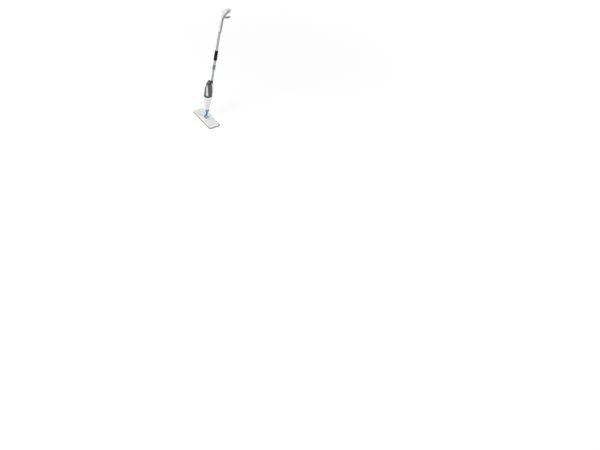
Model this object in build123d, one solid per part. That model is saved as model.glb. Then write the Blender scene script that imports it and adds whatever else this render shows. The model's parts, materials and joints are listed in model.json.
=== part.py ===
from build123d import *
import os
from math import asin, atan2, cos, hypot, radians, sin

# A hand-pumped spray mop, in millimetres, +Z up, standing on the floor with its stick leaning back.
# The origin is the centre of the pad's underside. +X runs along the head, +Y points to the user
# and -Y is the front, where the water is sprayed.
#
# Everything above the head is modelled along the stick: its x is the row's X, its n points away
# from the front and its s runs up the stick from the lower pivot. STICK places that frame.

# ---- Pose of the stick --------------------------------------------------------------------------
LEAN = 13.6  # stick's lean towards the user at rest, degrees
PIVOT_Z = 35.0  # height of the lower pivot above the floor
STICK = Location((0, 0, PIVOT_Z), (-LEAN, 0, 0))

# ---- Fits ---------------------------------------------------------------------------------------
FIT = 0.05  # radial play of a pin, shaft or plug in its bore
GAP = 0.3  # play between pieces that move past each other
PAST = 1.0  # how far a cutting shape runs past the face it opens
WALL = 2.5  # moulded shells

# ---- Head ---------------------------------------------------------------------------------------
HEAD_L = 400.0  # along X, over the pad's binding
HEAD_W = 128.0  # along Y, over the pad's binding
PAD_CORNER = 30.0
BINDING_W = 5.0
BINDING_T = 8.0
PAD_T = 6.0
STRIP_W = 22.0  # hook strips between the pad and the tray
TRAY_T = 2.5
PLATE_MARGIN = 9.0  # pad's edge to the plate's edge
PLATE_T = 8.0  # top shell of the head
RIM_W = 7.0
RECESS_DEPTH = 3.0
PANEL_T = 2.0
PANEL_FROM_X = 42.0  # inner end of each panel, from the head's centre
HEAD_SCREWS_X = (65.5, 131.0)  # screws of the tray, each side of the centre
HEAD_RIBS_X = (33.0, 98.0)  # cross ribs under the top shell, each side of the centre
HEAD_RIB_T = 2.0
HEAD_TOP_Z = BINDING_T + TRAY_T + PLATE_T

# ---- Neck ---------------------------------------------------------------------------------------
NECK_L = 61.0  # lower pivot to upper pivot
PIN_R = 3.0
PIN_CAP_R = 5.5
PIN_CAP_T = 2.0
LINK_LOW_R = 11.0
LINK_LOW_HALF = 14.0  # half-length of the lower barrel, along X
LINK_HIGH_R = 10.0
LINK_HIGH_HALF = 10.5  # half-length of the upper barrel, along n
LINK_WEB_HALF_X = 8.0
LINK_WAIST_S = 24.0  # where the web reaches its full depth
LINK_CORNER = 4.0
LINK_WINDOW_W = 10.0
LINK_WINDOW_L = 22.0
LINK_WINDOW_CORNER = 4.0
LINK_WINDOW_HALF = 3.0  # half-thickness of the wall left in the window
EAR_GAP = 0.5
YOKE_EAR_T = 7.0
YOKE_EAR_R = 13.0
YOKE_BASE_T = 4.0
YOKE_BASE_L = 50.0  # along X
YOKE_BASE_W = 42.0  # along Y
YOKE_CORNER = 8.0
YOKE_STEP = 3.0  # ear's foot inside the base's edge
YOKE_SCREW_X = 8.0
YOKE_SCREW_IN = 6.0  # screws inside the base's edge
FORK_EAR_T = 6.0
FORK_EAR_R = 11.0
FORK_DROP = 12.0  # upper pivot to the fork's flange
FORK_FLANGE_T = 4.0
FORK_PLUG_L = 20.0

# ---- Lower unit ---------------------------------------------------------------------------------
BODY_S = NECK_L + FORK_DROP + FORK_FLANGE_T  # foot of the two white shells
# Oval sections of the lower unit and its tank: height above BODY_S, front n, back n, half-width.
BODY_OVALS = (
    (0, -20.5, 22.0, 20.0),
    (23, -28.0, 21.5, 23.5),
    (56, -42.0, 20.5, 30.0),
    (87, -50.0, 22.0, 36.5),
    (119, -57.5, 24.5, 42.0),
    (158, -60.0, 26.5, 45.0),
    (192, -60.5, 26.5, 46.0),
    (225, -60.5, 26.5, 46.0),
    (250, -58.5, 24.0, 44.0),
    (274, -55.0, 20.5, 40.0),
    (298, -49.5, 16.0, 33.0),
    (313, -43.5, 6.0, 24.0),
    (320, -38.0, -6.0, 15.0),
    (323, -33.0, -15.0, 8.0),
)
SPLIT_N = -6.0  # plane between the front and rear shells
# Screws that join the two shells: x, height above BODY_S, n under the head.
BODY_SCREWS = ((14.0, 27.5, 12.0), (30.0, 113.0, 6.0))
SCREW_BITE = 10.0  # length of a screw past the joint
TUBE_SCREWS_UP = (23.0, 83.0)  # screws that hold the tube, above its lower end
TUBE_SCREW_SEAT = 8.0  # under those screws' heads, from the tube's wall
TUBE_SCREW_BITE = 1.0  # length of a screw past the tube's wall
WEB_UP = 2.0  # second web above the tube's lower end
WEB_DROP = 25.0  # top web below the spine's top
SEAT_S = BODY_S + 130.0  # joint between the shells and the seat plate
GROOVE_S = BODY_S + 109.0
GROOVE_W = 2.0
GROOVE_DEPTH = 1.0
SPINE_TOP_S = BODY_S + 295.0
RIB_HALF_X = 15.0  # rib of the spine that hides the tube
RIB_WALL = 2.4

# ---- Tank ---------------------------------------------------------------------------------------
TANK_TILT = 12.0  # tank's axis, forward of the stick's, degrees
TANK_N = -17.0
TANK_S = BODY_S + 153.0
TANK = Location((0, TANK_N, TANK_S), (TANK_TILT, 0, 0))
TANK_BACK_V = 32.0  # flat back of the tank, from its axis
TANK_WALL = 2.2
BASE_T = 12.0  # dark base moulding
HOOD_T0 = 132.0  # hood's lower edge, above the tank's base
CAP_V = -17.0  # cap's axis, from the tank's axis
CAP_R = 15.0
CAP_H = 10.0
CAP_LIFT = 1.0  # cap's underside above the base's
CAP_FLOOR_T = 3.0
CAP_ROOM = 1.5  # radial room round the cap in the base
SEAL_T = 0.5
NECK_R = 12.5
NECK_BORE_R = 10.5
SPIGOT_R = 7.0
SPIGOT_L = 9.0
SPIGOT_PLAY = 0.35
SPIGOT_BORE_R = 3.5
SPIGOT_FLOOR_T = 2.0
SPIGOT_RING_R = 0.9
STEM_R = 1.5
STEM_COLLAR_R = 2.9
STEM_COLLAR_T = 0.8
STEM_SPRING_L = 2.8  # spring's length while the valve is open
POPPET_R = 4.5
POPPET_T = 2.0
VALVE_LIFT = 3.0
VALVE_WAY_R = 2.2
VENT_R = 3.0
VENT_PROUD = 2.0
SEAT_WALL = 3.0
STUB_L = 14.0
STUB_N = 2.0  # stub behind the cap's axis

# ---- Pump ---------------------------------------------------------------------------------------
PUMP_R = 12.0
PUMP_BORE_R = 9.6
PUMP_S = BODY_S + 44.0  # pump's foot plate
PUMP_FLOOR_T = 10.0
PUMP_L = 75.0
PUMP_CAP_T = 7.0
PUMP_PLUG_L = 4.0
PISTON_T = 12.0
PISTON_REST = 15.0  # piston's top below the pump's mouth
PISTON_PLAY = 0.4
PISTON_SOCKET = 3.0  # depth of the rod's socket in the piston
RING_WIRE_R = 1.0
PORT_X = 7.0  # ports and hoses lie this far each side of the middle
PORT_R = 4.5
PORT_PROUD = 4.0
PORT_WALL = 1.5
BARB_R = 2.0
BARB_L = 6.5
HOSE_R = 3.2
INLET_UP = 15.0
OUTLET_UP = 37.0
VALVE_T = 1.0
VALVE_ROOM = 3.0  # length of the room in the port for the valve's disc
SPRING_IN = 2.5  # pump spring's radius inside the bore's
HOSE_BEND_R = 9.0
HOSE_TAIL = 1.0  # hose ends this far from the shoulder of its barb
NOZZLE_R = 5.0
NOZZLE_PROUD = 4.0
NOZZLE_L = 10.0  # length behind the shell's front
NOZZLE_FOOT_T = 4.0
NOZZLE_WAY_R = 1.0
TIP_R = 2.5
TIP_L = 3.0
TIP_PROUD = 0.8
JET_R = 0.5

# ---- Tubes --------------------------------------------------------------------------------------
LOWER_TUBE_R = 11.0
UPPER_TUBE_R = 12.5
TUBE_WALL = 1.2
LOWER_TUBE_S = BODY_S + 185.0
LOWER_TUBE_L = 338.0
PLUG_IN = 60.0  # length of the lower tube inside the upper one
UPPER_TUBE_L = 445.0
COUPLER_R = 15.0
COUPLER_L = 47.0
COUPLER_DROP = 21.0  # coupler below the upper tube's end
COUPLER_EDGE = 1.5
COUPLER_WINDOW_R = 6.5  # opening for the fingertip round the button
BANDS_UP = (6.0, 41.0)  # grooves round the coupler
BAND_W = 1.5
BAND_DEPTH = 0.8
BUTTON_R = 3.5
BUTTON_EDGE = 1.2
BUTTON_PROUD = 2.0  # button's tip above the upper tube's wall
BUTTON_UP = 12.0  # button's axis above the upper tube's end
BUTTON_FLANGE_IN = 1.3  # flange inside the lower tube's bore
LEAF_L = 39.0
LEAF_T = 0.5
LEAF_RISE = 2.0
LEAF_HALF = 2.0
COLLAR_R = 13.8
COLLAR_L = 26.0
COLLAR_EDGE = 1.8
FOAM_R = 17.0
FOAM_L = 102.0
FOAM_UP = 78.0  # grip above the upper tube's lower end
FOAM_EDGE = 2.5
FERRULE_L = 10.0
FERRULE_R = 16.0
FERRULE_EDGE = 2.5

# ---- Push rod -----------------------------------------------------------------------------------
ROD_R = 3.0
ROD_JOINT_UP = 80.0  # joint of the rod's two lengths above the upper tube's lower end
SLEEVE_R = 4.6
SLEEVE_L = 40.0
ROD_CAP_R = 5.0
ROD_CAP_T = 6.5
GUIDE_T = 6.0
LOWER_GUIDES_UP = (60.0, 180.0)  # above the lower tube's lower end
UPPER_GUIDE_UP = 130.0  # above the upper tube's lower end
UPPER_GUIDES_DOWN = (175.0, 85.0)  # below the upper tube's upper end

# ---- Handle -------------------------------------------------------------------------------------
HANDLE_IN = 67.0  # length of the upper tube inside the handle
HANDLE_HALF = 16.0
HANDLE_ROUND = 11.0
HANDLE_WALL = 2.6
# Front and back outlines of the handle: n, height above the handle's foot.
HANDLE_FRONT = ((-15, 0), (-20, 32), (-22, 82), (-22.5, 137), (-18, 178), (-5, 205), (20, 224))
HANDLE_BACK = ((14.5, 0), (17, 40), (17.8, 85), (20, 122), (26.5, 147), (38, 168), (54, 184))
LOBE = (64.0, 211.0)  # centre of the round end
LOBE_R = 20.0
EYE = (64.0, 211.5)  # centre of the hang hole
EYE_R = 7.5
EYELET_R = 9.5
EYELET_FLANGE_R = 11.0
EYELET_FLANGE_T = 1.4
# Line between the white front cover and the grey rear cover, from the straight part up.
COVER_SPLIT = ((-8, 82), (-5, 134), (7, 170), (24, 195), (35, 213), (38, 226))
SADDLE_T = 3.0
SADDLE_UP = (17.0, 52.0)
GUIDE_RIB_UP = 104.0
GRIP_SCREW = (9.0, 14.0, 92.0, 31.0)  # x each side, n, height above the foot, length
GRIP_POST_R = 3.4
END_SCREW = (34.0, 181.0, 38.0)  # n, height above the foot, length
TUBE_SCREW = (14.6, 4.0)  # n, length
TUBE_POST_R = 4.4

# ---- Trigger ------------------------------------------------------------------------------------
TRIGGER_PIVOT = (17.0, 144.0)  # n, height above the handle's foot
TRIGGER_ARM = 17.0  # pivot to the nose that pushes the rod
TRIGGER_NOSE_R = 3.0
TRIGGER_HUB_R = 7.0
TRIGGER_HUB_HALF = 6.0
TRIGGER_HALF = 9.0
TRIGGER_PIN_R = 2.0
BOSS_R = 3.8
NOSE_DROP = 2.0  # nose below the pivot
ARM_EDGE = 1.5  # arm's root inside the hub
PADDLE_EDGE = 2.5
PADDLE_TIP = (74.0, 5.5)  # n and height of the tip from the pivot
SLOT_PLAY = 1.0
SLOT_UP = 18.0  # slot's ends from the pivot
SLOT_DOWN = 11.0
SLOT_FROM = 2.4  # slot's inner end behind the pivot
SLOT_L = 30.0
# Paddle outline from the hub to its tip: n and height from the pivot.
PADDLE_TOP = ((3, 7.0), (26, 6.0), (51, 6.5), (70, 9.5))
PADDLE_BOTTOM = ((70.5, 1.0), (53, -6.5), (28, -8.5), (3, -7.0))

# ---- Fasteners ----------------------------------------------------------------------------------
SCREW_R = 1.6
SCREW_HEAD_R = 3.2
SCREW_HEAD_T = 2.2
POST_R = 4.0
WIRE_R = 0.5

# ---- Derived places along the stick -------------------------------------------------------------
UPPER_TUBE_S = LOWER_TUBE_S + LOWER_TUBE_L - PLUG_IN
COUPLER_S = UPPER_TUBE_S - COUPLER_DROP
FOAM_S = UPPER_TUBE_S + FOAM_UP
UPPER_TUBE_END = UPPER_TUBE_S + UPPER_TUBE_L
HANDLE_S = UPPER_TUBE_END - HANDLE_IN
BUTTON_S = UPPER_TUBE_S + BUTTON_UP
PUMP_MOUTH_S = PUMP_S + PUMP_L
PISTON_TOP_S = PUMP_MOUTH_S - PISTON_REST
NOSE_S = HANDLE_S + TRIGGER_PIVOT[1] - NOSE_DROP
ROD_TOP_S = NOSE_S - TRIGGER_NOSE_R - GAP
ROD_JOINT_S = UPPER_TUBE_S + ROD_JOINT_UP
BIG = 1000.0  # larger than anything that it cuts
FAR = 100.0  # further than anything beside it


# ---- Helpers ------------------------------------------------------------------------------------
def rod(radius, start, end):
    """A round bar from one point to another."""
    run = Vector(*end) - Vector(*start)
    place = Plane(origin=start, z_dir=run) * Pos(0, 0, run.length / 2)
    return place * Cylinder(radius, run.length)


def pipe(outer, inner, start, end):
    """A round tube from one point to another."""
    return rod(outer, start, end) - rod(inner, start, end)


def slab(low, high):
    """All space between two heights along the stick."""
    return Pos(0, 0, (low + high) / 2) * Box(BIG, BIG, high - low)


def block(x_low, x_high, y_low, y_high, z_low, z_high):
    """A box from its lowest to its highest corner."""
    centre = Pos((x_low + x_high) / 2, (y_low + y_high) / 2, (z_low + z_high) / 2)
    return centre * Box(x_high - x_low, y_high - y_low, z_high - z_low)


def coil_spring(radius, start_s, end_s, turns, n=0.0):
    """A round-wire spring along the stick between two heights."""
    height = end_s - start_s - 2 * WIRE_R
    path = Helix(pitch=height / turns, height=height, radius=radius)
    section = Plane(origin=path @ 0, z_dir=path % 0) * Circle(WIRE_R)
    return Pos(0, n, start_s + WIRE_R) * sweep(section, path=path)


def screw(place, length):
    """A pan-head screw: its head stands above place's origin and its shank points down its axis."""
    shank = Pos(0, 0, -length / 2) * Cylinder(SCREW_R, length)
    head = Pos(0, 0, SCREW_HEAD_T / 2) * Cylinder(SCREW_HEAD_R, SCREW_HEAD_T)
    head = fillet(head.edges().sort_by(Axis.Z)[-1], SCREW_HEAD_T / 2)
    cross = Box(SCREW_HEAD_R, SCREW_R / 2, SCREW_HEAD_T) + Box(SCREW_R / 2, SCREW_HEAD_R, SCREW_HEAD_T)
    return place * (shank + head - Pos(0, 0, SCREW_HEAD_T) * cross)


def screw_hole(place, length):
    """Room for a screw: its shank's hole and a counterbore that lets the head in from outside."""
    shank = Pos(0, 0, -length / 2) * Cylinder(SCREW_R + FIT, length)
    head = Pos(0, 0, FAR / 2) * Cylinder(SCREW_HEAD_R + GAP, FAR)
    return place * (shank + head)


def group(solids):
    """Several separate solids as one node."""
    return Compound(children=[solid for part in solids for solid in part.solids()])


# ---- Head ---------------------------------------------------------------------------------------
def rounded_plate(length, width, corner, z_low, z_high):
    """A flat plate with round corners, centred on the head."""
    return Pos(0, 0, z_low) * extrude(RectangleRounded(length, width, corner), z_high - z_low)


def panel_recesses(inset, z_low, z_high):
    """The two recesses in the head's top, one each side of the yoke, narrowed by inset."""
    plate_l = HEAD_L - 2 * PLATE_MARGIN
    plate_w = HEAD_W - 2 * PLATE_MARGIN
    length = plate_l / 2 - RIM_W - PANEL_FROM_X
    middle = PANEL_FROM_X + length / 2
    corner = PAD_CORNER - PLATE_MARGIN - RIM_W
    shape = rounded_plate(length - 2 * inset, plate_w - 2 * RIM_W - 2 * inset, corner - inset, z_low, z_high)
    return [Pos(side * middle, 0, 0) * shape for side in (-1, 1)]


def make_head():
    """The flat head: pad, binding, hook strips, tray, top shell and its panels."""
    plate_l = HEAD_L - 2 * PLATE_MARGIN
    plate_w = HEAD_W - 2 * PLATE_MARGIN
    plate_corner = PAD_CORNER - PLATE_MARGIN
    inner_l = HEAD_L - 2 * BINDING_W
    inner_w = HEAD_W - 2 * BINDING_W
    inner_corner = PAD_CORNER - BINDING_W

    binding = rounded_plate(HEAD_L, HEAD_W, PAD_CORNER, 0, BINDING_T)
    rim_edges = binding.edges().group_by(Axis.Z)
    binding = fillet(rim_edges[-1] + rim_edges[0], BINDING_W / 2)
    binding -= rounded_plate(inner_l, inner_w, inner_corner, -PAST, BINDING_T + PAST)
    pad = rounded_plate(inner_l, inner_w, inner_corner, 0, PAD_T)

    strip_y = plate_w / 2 - STRIP_W / 2 - RIM_W
    strip_l = plate_l - 2 * plate_corner
    strips = [
        block(-strip_l / 2, strip_l / 2, y - STRIP_W / 2, y + STRIP_W / 2, PAD_T, BINDING_T)
        for y in (-strip_y, strip_y)
    ]

    tray_top = BINDING_T + TRAY_T
    tray = rounded_plate(plate_l, plate_w, plate_corner, BINDING_T, tray_top)

    top = rounded_plate(plate_l, plate_w, plate_corner, tray_top, HEAD_TOP_Z)
    top = fillet(top.edges().group_by(Axis.Z)[-1], RIM_W / 2)
    hollow = rounded_plate(
        plate_l - 2 * WALL, plate_w - 2 * WALL, plate_corner - WALL, tray_top, HEAD_TOP_Z - WALL - RECESS_DEPTH
    )
    under_top = HEAD_TOP_Z - WALL
    posts = [rod(POST_R, (x, 0, tray_top), (x, 0, under_top)) for x in both_sides(HEAD_SCREWS_X)]
    ribs = [
        block(x - HEAD_RIB_T / 2, x + HEAD_RIB_T / 2, -plate_w / 2, plate_w / 2, tray_top, under_top)
        for x in both_sides(HEAD_RIBS_X)
    ]
    top -= hollow - ribs - posts
    for recess in panel_recesses(0, HEAD_TOP_Z - RECESS_DEPTH, HEAD_TOP_Z + PAST):
        top -= recess
    panels = panel_recesses(GAP, HEAD_TOP_Z - RECESS_DEPTH, HEAD_TOP_Z - RECESS_DEPTH + PANEL_T)
    panels = [fillet(panel.edges().group_by(Axis.Z)[-1], PANEL_T / 3) for panel in panels]

    screws = []
    for x in both_sides(HEAD_SCREWS_X):
        place = Location((x, 0, BINDING_T + SCREW_HEAD_T), (180, 0, 0))
        screws.append(screw(place, PLATE_T - WALL - PAST))
        tray -= screw_hole(place, PLATE_T)
        top -= rod(SCREW_R + FIT, (x, 0, tray_top), (x, 0, under_top))
    for x, y in yoke_screw_places():
        top -= rod(SCREW_R + FIT, (x, y, under_top - PAST), (x, y, HEAD_TOP_Z + PAST))
    return {
        "mop_pad": pad,
        "pad_binding": binding,
        "hook_strips": group(strips),
        "head_tray": tray,
        "head_top": top,
        "head_panels": group(panels),
        "head_screws": group(screws),
    }


def both_sides(places):
    """The same places each side of the middle."""
    return [side * place for place in places for side in (-1, 1)]


# ---- Neck ---------------------------------------------------------------------------------------
def make_yoke():
    """The blue yoke on the head: a base plate and two ears round the lower pin."""
    base = Pos(0, 0, HEAD_TOP_Z) * extrude(RectangleRounded(YOKE_BASE_L, YOKE_BASE_W, YOKE_CORNER), YOKE_BASE_T)
    base = fillet(base.edges().group_by(Axis.Z)[-1], YOKE_BASE_T / 4)
    ear_from = LINK_LOW_HALF + EAR_GAP
    foot_half = YOKE_BASE_W / 2 - YOKE_STEP
    drop = PIVOT_Z - HEAD_TOP_Z - YOKE_BASE_T / 2
    # The ear's sides leave the foot and touch the round top: the tangent's angle sets its corners.
    reach = hypot(foot_half, drop)
    turn = asin(YOKE_EAR_R / reach) + atan2(drop, foot_half)
    touch = (YOKE_EAR_R * sin(turn), YOKE_EAR_R * cos(turn))
    foot = [(-foot_half, -drop), (foot_half, -drop)]
    outline = make_face(Polyline(*foot, touch, (-touch[0], touch[1]), close=True))
    ear = Plane.YZ * (outline + Circle(YOKE_EAR_R))
    ears = [
        Pos(x, 0, PIVOT_Z) * extrude(ear, YOKE_EAR_T)
        for x in (ear_from, -ear_from - YOKE_EAR_T)
    ]
    yoke = base + ears
    half = ear_from + YOKE_EAR_T
    yoke -= rod(PIN_R + FIT, (-half, 0, PIVOT_Z), (half, 0, PIVOT_Z))
    pin = rod(PIN_R, (-half, 0, PIVOT_Z), (half, 0, PIVOT_Z))
    caps = [
        rod(PIN_CAP_R, (side * half, 0, PIVOT_Z), (side * (half + PIN_CAP_T), 0, PIVOT_Z))
        for side in (-1, 1)
    ]
    screws = []
    for x, y in yoke_screw_places():
        place = Location((x, y, HEAD_TOP_Z + YOKE_BASE_T))
        screws.append(screw(place, YOKE_BASE_T + WALL))
        yoke -= rod(SCREW_R + FIT, (x, y, HEAD_TOP_Z), (x, y, HEAD_TOP_Z + YOKE_BASE_T))
    return {
        "head_yoke": yoke,
        "lower_pin": pin,
        "lower_pin_caps": group(caps),
        "yoke_screws": group(screws),
    }


def yoke_screw_places():
    """Screws that hold the yoke to the head, fore and aft of the pivot."""
    return [(x, y) for x in both_sides([YOKE_SCREW_X]) for y in both_sides([YOKE_BASE_W / 2 - YOKE_SCREW_IN])]


def make_link():
    """The blue link between the lower pivot, along X, and the upper one, along n."""
    low = rod(LINK_LOW_R, (-LINK_LOW_HALF, 0, 0), (LINK_LOW_HALF, 0, 0))
    high = rod(LINK_HIGH_R, (0, -LINK_HIGH_HALF, NECK_L), (0, LINK_HIGH_HALF, NECK_L))
    web_l = 2 * LINK_WEB_HALF_X
    foot = RectangleRounded(web_l, 2 * (LINK_LOW_R - EAR_GAP), LINK_CORNER)
    waist = RectangleRounded(web_l, 2 * (LINK_HIGH_HALF - EAR_GAP), LINK_CORNER)
    web = loft([foot, Pos(0, 0, LINK_WAIST_S) * waist, Pos(0, 0, NECK_L) * waist], ruled=True)
    opening = Pos(0, NECK_L / 2) * RectangleRounded(LINK_WINDOW_W, LINK_WINDOW_L, LINK_WINDOW_CORNER)
    window = extrude(Plane.YZ * opening, LINK_WEB_HALF_X, both=True)
    rim = extrude(Plane.YZ * opening, LINK_WINDOW_HALF, both=True)
    web -= window - rim
    link = low + high + web
    link -= rod(PIN_R + FIT, (-LINK_LOW_HALF, 0, 0), (LINK_LOW_HALF, 0, 0))
    link -= rod(PIN_R + FIT, (0, -LINK_HIGH_HALF, NECK_L), (0, LINK_HIGH_HALF, NECK_L))
    return {"neck_link": link}


def make_fork():
    """The grey fork under the lower unit: flange, plug and two ears round the upper pin."""
    foot = BODY_OVALS[0]
    middle = (foot[1] + foot[2]) / 2
    flange = Pos(0, middle, BODY_S - FORK_FLANGE_T) * extrude(
        Ellipse(foot[3], (foot[2] - foot[1]) / 2), FORK_FLANGE_T
    )
    plug = lower_hull(WALL + FIT) & slab(BODY_S, BODY_S + FORK_PLUG_L)
    ear_from = LINK_HIGH_HALF + EAR_GAP
    ears = []
    for n in (ear_from, -ear_from - FORK_EAR_T):
        round_end = rod(FORK_EAR_R, (0, n, NECK_L), (0, n + FORK_EAR_T, NECK_L))
        stem = block(-FORK_EAR_R, FORK_EAR_R, n, n + FORK_EAR_T, NECK_L, BODY_S)
        ears += [round_end, stem]
    fork = flange + plug + ears
    half = ear_from + FORK_EAR_T
    fork -= rod(PIN_R + FIT, (0, -half, NECK_L), (0, half, NECK_L))
    pin = rod(PIN_R, (0, -half, NECK_L), (0, half, NECK_L))
    caps = [
        rod(PIN_CAP_R, (0, side * half, NECK_L), (0, side * (half + PIN_CAP_T), NECK_L))
        for side in (-1, 1)
    ]
    return {"neck_fork": fork, "upper_pin": pin, "upper_pin_caps": group(caps)}


# ---- Lower unit ---------------------------------------------------------------------------------
def lower_hull(inset):
    """The smooth outer form of the lower unit and tank, drawn in by inset."""
    ovals = []
    for height, front, back, half_width in BODY_OVALS:
        place = Pos(0, (front + back) / 2, BODY_S + height)
        ovals.append(place * Ellipse(half_width - inset, (back - front) / 2 - inset))
    return loft(ovals)


def hull_front(s):
    """The hull's front n at a height, on straight lines between its ovals."""
    rows = [(BODY_S + height, front) for height, front, _, _ in BODY_OVALS]
    for (s_low, n_low), (s_high, n_high) in zip(rows, rows[1:]):
        if s_low <= s <= s_high:
            return n_low + (n_high - n_low) * (s - s_low) / (s_high - s_low)
    return rows[-1][1]


def tank_side(gap):
    """All space on the tank's side of its flat back and of the spine's rib, gap away from both."""
    front = TANK * block(-BIG, BIG, -BIG, TANK_BACK_V - gap, -BIG, BIG)
    rib = block(-RIB_HALF_X - gap, RIB_HALF_X + gap, rib_front() - gap, BIG, 0, BIG)
    return front - rib


def rib_front():
    """Front face of the spine's rib, ahead of the tube."""
    return -LOWER_TUBE_R - FIT - RIB_WALL


def spine_side(gap):
    """All space behind the tank's flat back, and inside the rib, gap within both."""
    back = TANK * block(-BIG, BIG, TANK_BACK_V + gap, BIG, -BIG, BIG)
    rib = block(-RIB_HALF_X + gap, RIB_HALF_X - gap, rib_front() + gap, BIG / 2, 0, BIG)
    return back + rib


def body_screw_places():
    """Where screws join the two shells: x, s, and n under the screw's head."""
    return [(side * x, BODY_S + up, seat) for x, up, seat in BODY_SCREWS for side in (-1, 1)]


def make_lower_unit():
    """The two white shells, the seat plate under the tank and their screws."""
    hull = lower_hull(0)
    core = lower_hull(WALL)
    cone = hull & slab(BODY_S, SEAT_S)
    cone -= (hull - lower_hull(GROOVE_DEPTH)) & slab(GROOVE_S, GROOVE_S + GROOVE_W)
    spine = hull & slab(SEAT_S, SPINE_TOP_S) & spine_side(0)
    cone_hollow = core & slab(BODY_S, SEAT_S)
    spine_hollow = core & slab(SEAT_S, SPINE_TOP_S - WALL) & spine_side(RIB_WALL)

    inner_hull = lower_hull(WALL / 2)
    posts = []
    cuts = []
    screws = []
    for x, s, seat_n in body_screw_places():
        posts.append(rod(POST_R, (x, -FAR, s), (x, FAR, s)) & inner_hull)
        place = Location((x, seat_n, s), (-90, 0, 0))
        length = seat_n - SPLIT_N + SCREW_BITE
        screws.append(screw(place, length))
        cuts.append(screw_hole(place, length + PAST))
    for up in TUBE_SCREWS_UP:
        s = LOWER_TUBE_S + up
        posts.append(rod(POST_R, (0, LOWER_TUBE_R + FIT, s), (0, FAR, s)) & inner_hull)
        place = Location((0, LOWER_TUBE_R + TUBE_SCREW_SEAT, s), (-90, 0, 0))
        length = TUBE_SCREW_SEAT + TUBE_WALL + TUBE_SCREW_BITE
        screws.append(screw(place, length))
        cuts.append(screw_hole(place, length + PAST))
    for s, bore in (
        (LOWER_TUBE_S - SADDLE_T, ROD_R + GAP),
        (LOWER_TUBE_S + WEB_UP, LOWER_TUBE_R + FIT),
        (SPINE_TOP_S - WEB_DROP, LOWER_TUBE_R + FIT),
    ):
        web = slab(s, s + SADDLE_T) & inner_hull & spine_side(RIB_WALL / 2)
        posts.append(web - rod(bore, (0, 0, s - PAST), (0, 0, s + SADDLE_T + PAST)))

    shells = cone - cone_hollow + (spine - spine_hollow) + posts
    for cut in cuts:
        shells -= cut
    tube_way = rod(LOWER_TUBE_R + FIT, (0, 0, LOWER_TUBE_S), (0, 0, SPINE_TOP_S + PAST))
    shells -= tube_way
    pump_way = rod(PUMP_R + FIT, (0, 0, PUMP_S), (0, 0, SEAT_S))
    shells -= pump_way

    front_side = block(-BIG, BIG, -BIG, SPLIT_N, 0, SEAT_S)
    front = shells & front_side
    rear = shells - front_side
    nozzle_s = PUMP_S + OUTLET_UP
    front -= rod(NOZZLE_R + FIT, (0, -FAR, nozzle_s), (0, SPLIT_N - POST_R, nozzle_s))

    # The seat plate closes the shells in front of the spine and slopes as the tank's base does.
    under_tank = TANK * block(-BIG, BIG, -BIG, BIG, -BIG, -GAP)
    under_wall = TANK * block(-BIG, BIG, -BIG, BIG, -BIG, -GAP - SEAT_WALL)
    seat = hull & slab(SEAT_S, BIG) & under_tank & tank_side(GAP)
    seat -= core & slab(SEAT_S, BIG) & under_wall & tank_side(GAP + WALL)
    socket_low = -GAP - SPIGOT_L - 2 * SEAT_WALL
    seat += cap_axis(SPIGOT_R + SEAT_WALL, socket_low, -GAP)
    seat -= cap_axis(SPIGOT_R + SPIGOT_PLAY, -GAP - SPIGOT_L - SEAT_WALL, 0)
    seat += cap_axis(STEM_R, socket_low, -SPIGOT_L)
    stub = seat_stub()
    seat += rod(BARB_R, stub[0], stub[1])
    seat -= rod(BARB_R / 2, stub[0], (stub[1][0], stub[1][1], stub[1][2] + 3 * SEAT_WALL))
    return {
        "body_front_shell": front,
        "body_rear_shell": rear,
        "tank_seat": seat,
        "body_screws": group(screws),
    }


def seat_stub():
    """The barb under the socket, which the suction hose goes over: its tip and its root."""
    n = TANK_N + CAP_V * cos(radians(TANK_TILT)) + STUB_N
    root_s = TANK_S + CAP_V * sin(radians(TANK_TILT)) - SPIGOT_L - 2 * SEAT_WALL + STUB_N
    return (-PORT_X, n, root_s - STUB_L), (-PORT_X, n, root_s)


def cap_axis(radius, low, high):
    """A round bar on the cap's axis between two heights of the tank's frame."""
    return TANK * rod(radius, (0, CAP_V, low), (0, CAP_V, high))


# ---- Tank ---------------------------------------------------------------------------------------
def tank_slab(low, high):
    """All space between two heights of the tank's frame."""
    return TANK * slab(low, high)


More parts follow.
